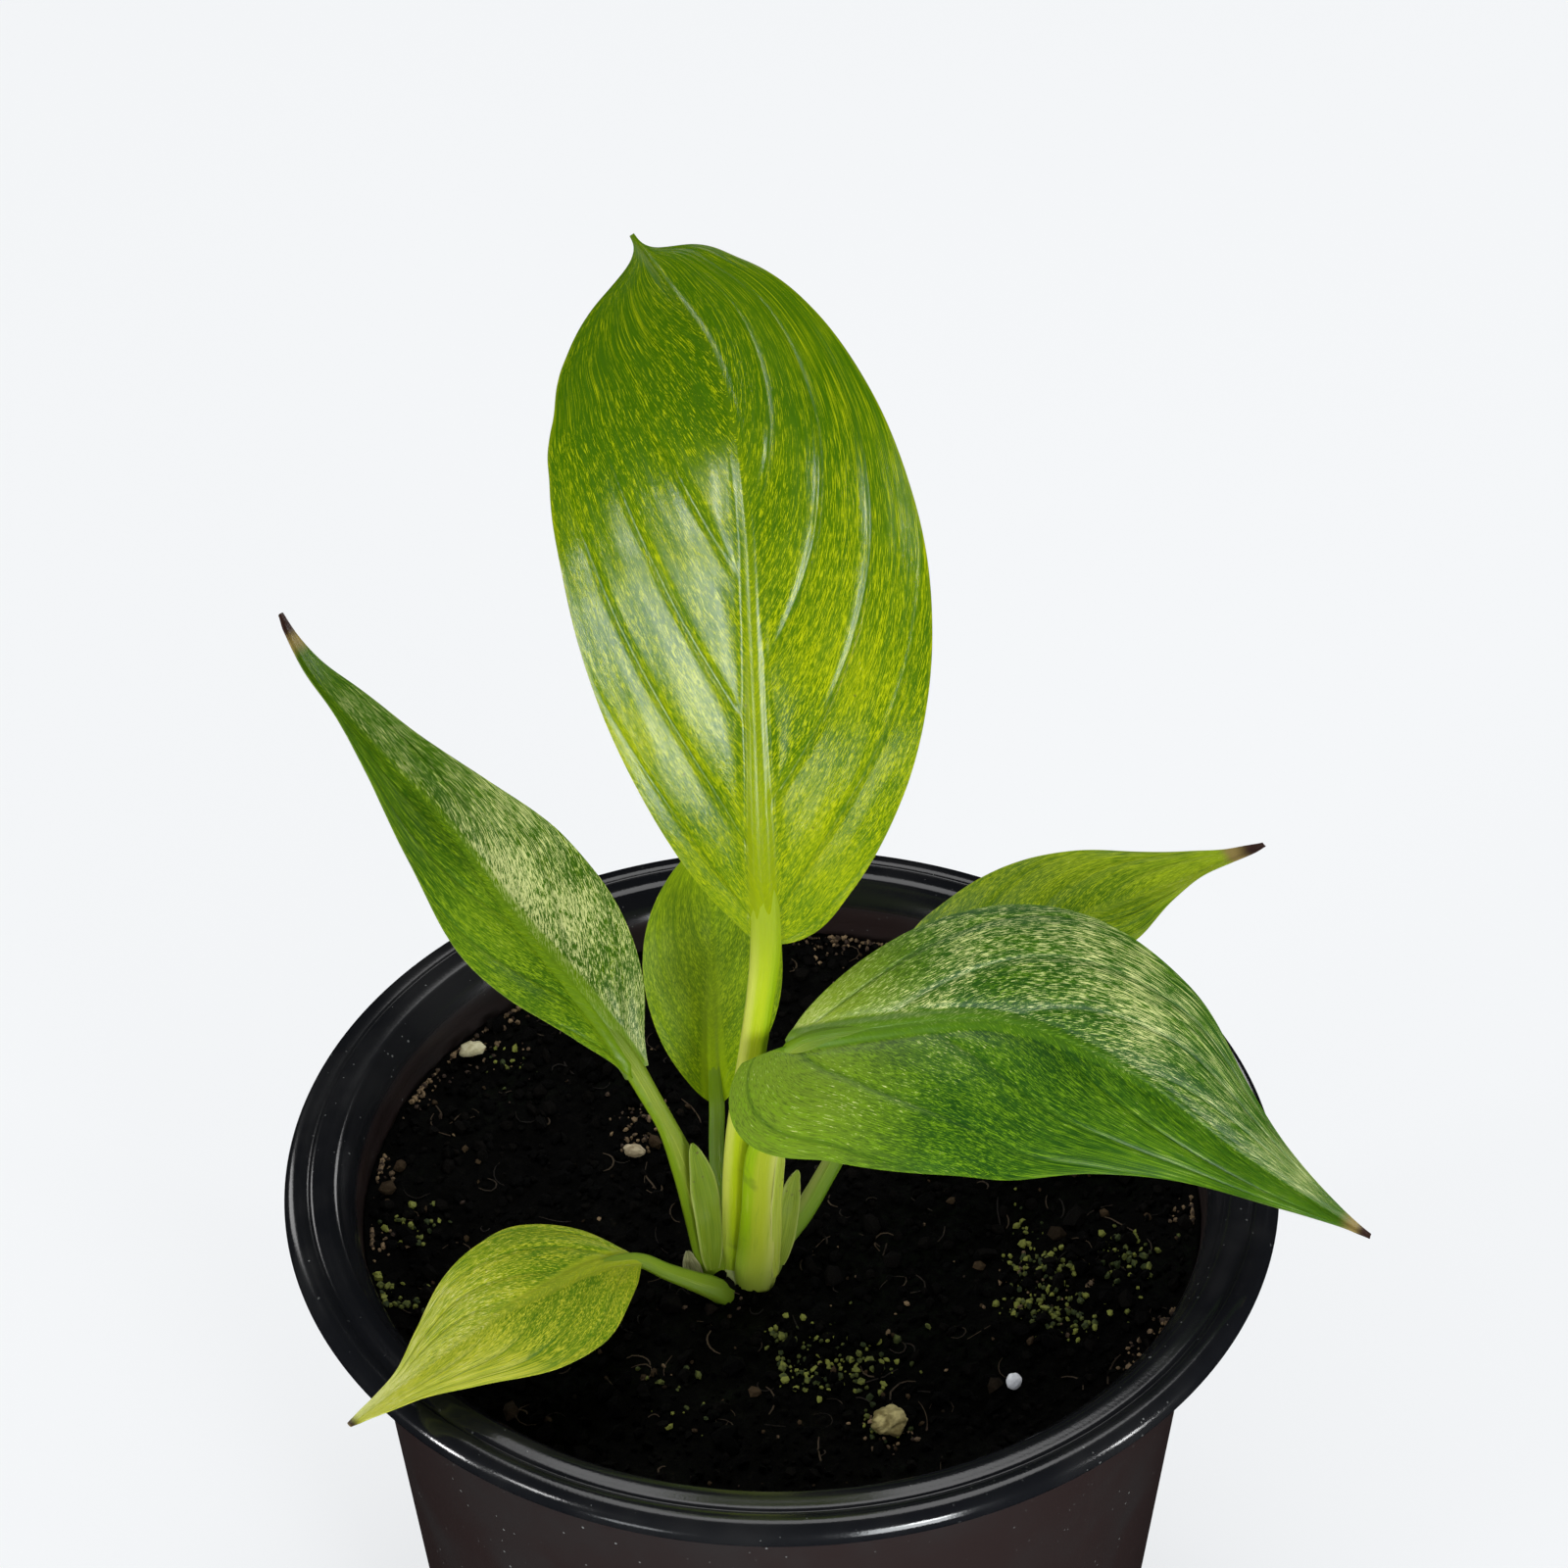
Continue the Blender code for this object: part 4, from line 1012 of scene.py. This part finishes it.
# %% Pot finish
f = Finish("black_polypropylene")
place = f.place()
height = f.node("ShaderNodeSeparateXYZ", {0: place}, "Z")
cloud = f.noise(place, 45.0, 4.0, 0.6)
grain = f.noise(place, 2600.0, 2.0, 0.6)
dust_size = f.ramp(f.noise(place, 260.0, 2.0), 0.35, 0.75, 0.03, 0.13)
dust = f.maths("LESS_THAN", f.cells(place, 620.0), dust_size)
dust = f.times(dust, f.ramp(cloud, 0.40, 0.62, 0.1, 0.8))
on_rim = f.ramp(height, 0.0955, 0.0968)
body = f.mix(on_rim, (0.021, 0.013, 0.0125), (0.006, 0.0065, 0.008))
body = f.mix(f.ramp(cloud, 0.4, 0.75, 0.0, 0.5), body, (0.022, 0.022, 0.022))
body = f.mix(f.times(dust, 0.7), body, (0.24, 0.25, 0.24))
wear = f.ramp(cloud, 0.3, 0.7, 0.0, 0.09)
rough = f.plus(f.ramp(on_rim, 0.0, 1.0, 0.42, 0.12), wear)
shine = f.ramp(on_rim, 0.0, 1.0, 0.2, 0.6)
f.finish(body, rough, f.bump(grain, 0.25, 0.00004), Specular_IOR_Level=shine)
tube_piece("moulded_pot", pot, f.material, stands_for=("pot",), slot="black_polypropylene",
           sharp=60)

# %% [markdown]
# ## Soil
# Peat compost is dark, damp and crumbly. A finely dented disc gives the ground, and thousands of
# loose crumbs lie on it. Each crumb is a small twenty-sided lump, squashed and turned at random
# from a seed.

# %% Soil surface
SOIL_TOP, GAP = 91.0, 0.3
SOIL_SIDES, SOIL_RINGS = 520, 160
WALL_FROM = 86.0  # mm: the soil is rough above this height, and follows the pot's wall below it


def soil_height(x, y):
    """Height of the soil in mm: two slow waves, then clods, crumbs and grit as layered noise."""
    wave = 0.45 * np.sin(0.11 * x + 0.8) * np.cos(0.13 * y)
    wave = wave + 0.25 * np.sin(0.23 * x - 0.19 * y + 2.0)
    fade = np.clip(1.2 - np.hypot(x, y) / WALL_TOP_OUT, 0, 1)
    clods = 0.9 * layered_noise(x / 7.0, y / 7.0, 3, 21)
    crumbs = 0.55 * np.abs(layered_noise(x / 1.9, y / 1.9, 3, 22))
    return SOIL_TOP + wave * fade + clods + crumbs


low = FLOOR_TOP + GAP
top_radius = inner_radius(SOIL_TOP) - 0.15
share = np.linspace(0.002, 1, SOIL_RINGS)[:, None]
a = round_angles(SOIL_SIDES)[None]
x, y = top_radius * share * np.cos(a), top_radius * share * np.sin(a)
top = np.stack((x, y, soil_height(x, y)), -1)
sides = []
for z in np.linspace(WALL_FROM, low + 0.2, 6):
    radius = inner_radius(z) - GAP
    sides.append(np.stack((radius * np.cos(a), radius * np.sin(a), np.full_like(a, z)), -1))
soil = np.concatenate((top, *sides))
print("soil rings:", len(soil))

# %% [markdown]
# ## The earth finish
# Damp peat is almost black and hardly shines. Two scales of noise mix brown and light crumbs into
# it, and a green film of moss grows in patches.

# %% Soil finish
def earth_finish(name, dark, brown, light, moss):
    """Dark peat with brown and light crumbs by noise, and a green film of moss in patches."""
    f = Finish(name)
    place = f.place()
    coarse, fine = f.noise(place, 120.0, 5.0, 0.7), f.noise(place, 900.0, 4.0, 0.7)
    colour = f.mix(f.ramp(fine, 0.4, 0.7), dark, brown)
    both = f.times_plus(coarse, 0.5, f.times(fine, 0.5))
    colour = f.mix(f.ramp(both, 0.60, 0.70), colour, light)
    film = f.ramp(f.noise(place, 60.0, 3.0), 0.45, 0.65)
    film = f.times(film, f.ramp(fine, 0.45, 0.6, 0.0, 0.8))
    colour = f.mix(film, colour, moss)
    rough = f.ramp(coarse, 0.3, 0.7, 0.95, 0.6)
    return f.finish(colour, rough, f.bump(fine, 0.8, 0.0006), Specular_IOR_Level=0.08)


earth = earth_finish(
    "peat_soil", (0.0004, 0.0004, 0.0002), (0.0018, 0.0014, 0.0008), (0.012, 0.008, 0.004),
    (0.0015, 0.004, 0.0006))
tube_piece("peat_ground", soil, earth, stands_for=("potting_soil",), slot="peat_soil", sharp=180)

# %% [markdown]
# ## Loose crumbs
# A lump is a twenty-sided ball with each corner pushed in or out, stretched and turned at random.
# All lumps of one kind are joined in one mesh, and a value called tone gives each its own colour.
# Copies of one crumb on a particle system would look alike, and one mesh is simpler to hand on.

# %% Crumbs
CRUMBS, CRUMB_SEED = 3600, 41
random = np.random.default_rng(CRUMB_SEED)
GOLD = (1 + math.sqrt(5)) / 2
LUMP = np.array([
    (-1, GOLD, 0), (1, GOLD, 0), (-1, -GOLD, 0), (1, -GOLD, 0), (0, -1, GOLD), (0, 1, GOLD),
    (0, -1, -GOLD), (0, 1, -GOLD), (GOLD, 0, -1), (GOLD, 0, 1), (-GOLD, 0, -1), (-GOLD, 0, 1),
]) / math.hypot(1, GOLD)
LUMP_FACES = np.array([
    (0, 11, 5), (0, 5, 1), (0, 1, 7), (0, 7, 10), (0, 10, 11), (1, 5, 9), (5, 11, 4),
    (11, 10, 2), (10, 7, 6), (7, 1, 8), (3, 9, 4), (3, 4, 2), (3, 2, 6), (3, 6, 8),
    (3, 8, 9), (4, 9, 5), (2, 4, 11), (6, 2, 10), (8, 6, 7), (9, 8, 1),
])


def scatter_lumps(x, y, size, sink):
    """Lumps of the given sizes at x, y: a twenty-sided ball with uneven corners, stretched, turned
    by three angles, and sunk by a share of its size into the soil."""
    count = len(x)
    shape = LUMP[None] * (1 + random.uniform(-0.25, 0.25, (count, 12, 1)))
    shape = shape * random.uniform(0.6, 1.3, (count, 1, 3)) * size[:, None, None]
    for axis in range(3):
        angle = random.uniform(0, 2 * np.pi, count)
        c, s = np.cos(angle)[:, None], np.sin(angle)[:, None]
        i, j = (axis + 1) % 3, (axis + 2) % 3
        turned = shape.copy()
        turned[..., i] = c * shape[..., i] - s * shape[..., j]
        turned[..., j] = s * shape[..., i] + c * shape[..., j]
        shape = turned
    centre = np.stack((x, y, soil_height(x, y) + size * (0.7 - sink)), -1)
    points = (shape + centre[:, None]).reshape(-1, 3)
    faces = (LUMP_FACES[None] + np.arange(count)[:, None, None] * 12).reshape(-1, 3)
    return points, faces


def add_lumps(name, x, y, size, look, slot, sink=0.2):
    """Scattered lumps as one piece, each with its own tone from 0 to 1."""
    points, faces = scatter_lumps(x, y, size, sink)
    tone = np.repeat(random.uniform(0, 1, len(x)), len(LUMP))
    add_piece(name, points, [], faces, look, fields={"tone": tone}, slot=slot, sharp=30)


reach = top_radius - 1.0
radius = reach * np.sqrt(random.uniform(0, 1, CRUMBS))
angle = random.uniform(0, 2 * np.pi, CRUMBS)
random.power(0.35, CRUMBS)  # not used, but without this draw everything after it would move
size = np.clip(random.lognormal(math.log(0.42), 0.5, CRUMBS), 0.18, 1.6)
f = Finish("peat_crumbs")
tones = f.field("tone")
fine = f.noise(f.place(), 1200.0, 3.0, 0.7)
colour = f.mix(f.ramp(tones, 0.3, 0.9), (0.0004, 0.0004, 0.0003), (0.0024, 0.0017, 0.001))
colour = f.mix(f.ramp(tones, 0.955, 0.99), colour, (0.05, 0.032, 0.016))
f.finish(colour, 0.85, f.bump(fine, 0.8, 0.0004), Specular_IOR_Level=0.12)
add_lumps("peat_crumbs", radius * np.cos(angle), radius * np.sin(angle), size, f.material,
          "peat_soil")

# %% [markdown]
# ## Moss, fibres and pale bits
# Light falls between the leaves, so tufts of yellow-green moss have started, and pale grit and
# husk collect against the wall. Each spot is its centre, spread and number of grains.

# %% Moss and grit
MOSS_SPOTS = (
    (34, -12, 2.2, 70), (34, -20, 2.6, 90), (44, -11, 2.4, 60), (39, -22, 2.0, 30),
    (30, -20, 1.6, 24), (10, -29, 3.0, 60), (2, -31, 1.6, 40), (0, -25, 1.4, 24),
    (-6, -8, 1.0, 10), (6, -31, 2.2, 30), (-49, -4, 2.0, 40), (-51, -16, 2.0, 40),
    (-37, 28, 1.6, 20), (32, -5, 1.5, 16), (4, -26, 2.0, 24), (-13, -35, 2.6, 20),
    (12.8, -40.5, 1.6, 26),
)


def spotted(spots, low_size, high_size):
    """Grains scattered round each spot as a bell-shaped cloud, kept inside the pot."""
    spread = np.concatenate([np.tile((x, y, s), (n, 1)) for x, y, s, n in spots])
    at = spread[:, :2] + random.normal(0, 1, (len(spread), 2)) * spread[:, 2:]
    far = np.hypot(at[:, 0], at[:, 1])[:, None]
    at = at * np.minimum(1, reach / far)
    return at[:, 0], at[:, 1], random.uniform(low_size, high_size, len(at))


def grain_finish(name, first, second, rough=0.8):
    """Two colours mixed by each grain's own tone and by fine noise."""
    f = Finish(name)
    fine = f.noise(f.place(), 1500.0, 3.0, 0.6)
    fac = f.times_plus(fine, 0.6, f.times(f.field("tone"), 0.5))
    return f.finish(f.mix(f.ramp(fac, 0.3, 0.8), first, second), rough, f.bump(fine, 0.7, 0.0003))


moss = grain_finish("moss", (0.02, 0.035, 0.003), (0.20, 0.22, 0.03))
add_lumps("moss_tufts", *spotted(MOSS_SPOTS, 0.10, 0.55), moss, "peat_soil", -0.2)

GRIT_SPOTS = (
    (-44, 34, 4.5, 90), (-41, 41, 3.0, 60), (-52, 24, 2.2, 60), (-49, 22, 1.8, 30),
    (9, 54, 4.0, 60), (15, 53, 3.0, 50), (6, 52, 3.0, 30), (-19.5, 15, 2.2, 50),
    (-19, 12, 1.4, 24), (54, -3, 1.5, 40), (50, -23, 1.5, 30), (45, -29, 1.5, 30),
    (-54, 8, 1.4, 40), (-54, -7, 1.4, 30), (34, -16, 3.5, 30), (13, -41, 1.8, 30), (0, 0, 26, 60),
)
grit = grain_finish("husk_and_grit", (0.03, 0.015, 0.008), (0.24, 0.16, 0.08))
add_lumps("husk_grit", *spotted(GRIT_SPOTS, 0.10, 0.42), grit, "fibre", -0.1)

# %% [markdown]
# ## Four bigger bits
# A white perlite bead, two chips of bark and a clump of fibre are large enough to have solids of
# their own. Each is a ball made uneven by noise, at the middle of its solid's box.

# %% Loose bits that have their own solids
BITS = {
    "perlite_bead": (
        "white_bead", (1.0, 0.9, 1.2), 10, 0.10, (0.62, 0.64, 0.68), (0.80, 0.81, 0.84), "perlite"),
    "bark_chip_left": (
        "pale_chip", (1.9, 1.3, 0.9), 25, 0.22, (0.40, 0.36, 0.20), (0.62, 0.58, 0.38),
        "bark_pale"),
    "bark_chip_middle": (
        "tan_chip", (1.5, 1.0, 0.8), -20, 0.22, (0.26, 0.20, 0.11), (0.50, 0.42, 0.27), "bark_tan"),
    "fibre_clump_front": (
        "tan_fibre_clump", (2.6, 2.0, 1.3), 35, 0.35, (0.14, 0.11, 0.03), (0.42, 0.36, 0.15),
        "fibre"),
}
for number, (solid, bit) in enumerate(BITS.items()):
    name, half_sides, turn, uneven, first, second, slot = bit
    low_corner, high_corner = (np.array(corner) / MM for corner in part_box(solid))
    centre = (low_corner + high_corner) / 2
    t, a = np.meshgrid(np.linspace(0.02, 0.98, 44), round_angles(56), indexing="ij")
    ring = np.sin(np.pi * t)
    ball = np.stack((ring * np.cos(a), ring * np.sin(a), -np.cos(np.pi * t)), -1)
    x, y, z = np.moveaxis(ball, -1, 0)
    lump = 1 + uneven * layered_noise(x * 1.7 + 9 * number, y * 1.7 + z * 1.3, 4, number)
    ball = ball * lump[..., None] * half_sides
    c, s = math.cos(math.radians(turn)), math.sin(math.radians(turn))
    x, y = c * ball[..., 0] - s * ball[..., 1], s * ball[..., 0] + c * ball[..., 1]
    rings = np.stack((x, y, ball[..., 2]), -1) + centre
    tone = 0.5 + 0.5 * lattice_noise(a * 1.5, t * 6, 5)
    tube_piece(name, rings, grain_finish(name, first, second, 0.85), fields={"tone": tone},
               stands_for=(solid,), slot=slot)

# %% [markdown]
# ## Root and peat fibres
# Hair-thin roots and peat fibres lie over the crumbs. Each is a short bent thread: a curve in the
# plane of the soil that follows its height, carried by a four-sided section.

# %% Fibres
FIBRES, FIBRE_STEPS = 200, 7
start = reach * 0.96 * np.sqrt(random.uniform(0, 1, FIBRES))[:, None]
where = random.uniform(0, 2 * np.pi, FIBRES)[:, None]
heading = random.uniform(0, 2 * np.pi, FIBRES)[:, None]
bend = random.uniform(-2.2, 2.2, FIBRES)[:, None]
long = random.uniform(1.5, 6.0, FIBRES)[:, None]
u = np.linspace(-0.5, 0.5, FIBRE_STEPS)[None]
x = start * np.cos(where) + long * u * np.cos(heading + bend * u)
y = start * np.sin(where) + long * u * np.sin(heading + bend * u)
shrink = np.minimum(1, reach / np.hypot(x, y))
x, y = x * shrink, y * shrink
z = soil_height(x, y) + 0.25
thick = random.uniform(0.05, 0.14, FIBRES)[:, None, None] * (1 - 1.2 * np.abs(u[..., None]) ** 2)
a = round_angles(4)
side = np.stack((-np.sin(heading + bend * u), np.cos(heading + bend * u), np.zeros_like(x)), -1)
upward = np.array((0.0, 0.0, 1.0))
threads = np.stack((x, y, z), -1)[:, :, None] + side[:, :, None] * (thick * np.cos(a))[..., None]
threads = threads + upward * (thick * np.sin(a))[..., None]
quads = ring_faces(FIBRE_STEPS, 4)
ends = np.array([(3, 2, 1, 0), tuple((FIBRE_STEPS - 1) * 4 + k for k in range(4))])
quads = np.concatenate((quads, ends))
quads = (quads[None] + np.arange(FIBRES)[:, None, None] * FIBRE_STEPS * 4).reshape(-1, 4)
fibre_look = grain_finish("peat_fibre", (0.008, 0.005, 0.003), (0.07, 0.045, 0.022))
tone = np.repeat(random.uniform(0, 1, FIBRES), FIBRE_STEPS * 4)
add_piece("peat_fibres", threads, quads, [], fibre_look, fields={"tone": tone}, slot="fibre",
          sharp=60)

# %% [markdown]
# ## A pale floor
# The plant stands on a white sweep. A plane that glows a little stays even and nearly white, as a
# backdrop with its own lamps does, and the soft shadow under the pot still shows on it. Lamps
# alone would leave it brighter in the middle than at the edges.

# %% Floor
floor_mesh = bpy.data.meshes.new("floor")
floor_mesh.from_pydata([(-4, -4, 0), (4, -4, 0), (4, 4, 0), (-4, 4, 0)], [], [(0, 1, 2, 3)])
floor = new_object("floor", floor_mesh)
backdrop = Finish("pale_floor")
backdrop.finish((0.30, 0.305, 0.31), 0.9, Emission_Color=(0.97, 0.985, 1.0, 1.0),
                Emission_Strength=0.61)
floor_mesh.materials.append(backdrop.material)
floor.visible_glossy = False

# %% [markdown]
# ## Soft lights
# Shiny leaves show each lamp as a bright patch, so most of the lamps are small and each is placed
# where its patch belongs. The pale world gives most of the light. It is hidden from reflections,
# because a white room mirrored in every leaf would veil it in grey.

# %% Lights
def soft_light(name, place, target, width, height, power, colour):
    """Rectangular softbox at place, facing target, in metres and watts, unseen by the camera
    itself."""
    lamp = bpy.data.lights.new(name, "AREA")
    lamp.shape = "RECTANGLE"
    lamp.size, lamp.size_y, lamp.energy, lamp.color = width, height, power, colour
    box = new_object(name, lamp)
    toward = np.subtract(target, place)
    yaw = math.atan2(toward[1], toward[0]) - math.pi / 2
    pitch = math.atan2(math.hypot(toward[0], toward[1]), -toward[2])
    box.location = place
    box.rotation_euler = (pitch, 0.0, yaw)
    box.visible_camera = False
    return box


MIDDLE = (0.0, 0.0, 0.13)
TALL_LEAF = (-0.01, -0.012, 0.165)
COOL, COOLER, WHITE = (0.98, 0.99, 1.0), (0.94, 0.98, 1.0), (1.0, 1.0, 1.0)
LAMPS = (
    ("key_front_right", (0.50, -1.0, 0.30), MIDDLE, 0.18, 0.18, 2.0, COOL),
    ("low_front_right", (0.118, -0.300, 0.100), TALL_LEAF, 0.09, 0.15, 0.46, COOLER),
    ("low_front_left", (-0.125, -0.250, 0.050), TALL_LEAF, 0.05, 0.05, 0.035, COOLER),
    ("fill_front_left", (-0.9, -0.75, 0.55), MIDDLE, 0.22, 0.22, 1.8, WHITE),
    ("side_left", (-1.0, -0.42, 0.20), MIDDLE, 0.10, 0.22, 3.2, WHITE),
    ("side_right", (1.0, -0.40, 0.20), MIDDLE, 0.08, 0.20, 2.0, WHITE),
    ("overhead", (0.05, 0.35, 1.2), MIDDLE, 0.70, 0.70, 3.5, WHITE),
    ("rim_left", (-1.0, 0.8, 0.45), MIDDLE, 0.3, 0.5, 1.6, WHITE),
    ("rim_right", (0.8, 1.1, 0.50), MIDDLE, 0.3, 0.5, 1.6, WHITE),
)
for lamp in LAMPS:
    soft_light(*lamp)
print("lamps:", len(LAMPS))
world = bpy.data.worlds.new("studio")
world.use_nodes = True
sky = world.node_tree.nodes["Background"]
sky.inputs["Color"].default_value = (0.97, 0.985, 1.0, 1.0)
sky.inputs["Strength"].default_value = 0.66
world.cycles_visibility.glossy = False
bpy.context.scene.world = world
bpy.context.scene.view_settings.view_transform = "Standard"

# %% [markdown]
# ## The camera
# A long lens from half a metre off looks down at the plant by a little under forty degrees, so the
# pot's mouth is an open oval and the verticals hardly converge.

# %% Camera
LENS_MM, LOOK_DOWN, ROLL = 90.0, math.radians(37.8), math.radians(-0.64)
CAMERA_AT = (0.0009, -0.3761, 0.4530)
forward = np.array((0.0, math.cos(LOOK_DOWN), -math.sin(LOOK_DOWN)))
right = np.array((1.0, 0.0, 0.0))
upward = np.cross(right, forward)
turned = right * math.cos(ROLL) + upward * math.sin(ROLL)
upright = -right * math.sin(ROLL) + upward * math.cos(ROLL)
lens = bpy.data.cameras.new("studio_camera")
lens.lens, lens.sensor_width = LENS_MM, 36.0
lens.clip_start = 0.01
camera = new_object("studio_camera", lens)
camera.matrix_world = [(*turned, 0.0), (*upright, 0.0), (*-forward, 0.0), (*CAMERA_AT, 1.0)]
bpy.context.scene.camera = camera
print("camera distance, m:", round(math.dist(CAMERA_AT, MIDDLE), 3))
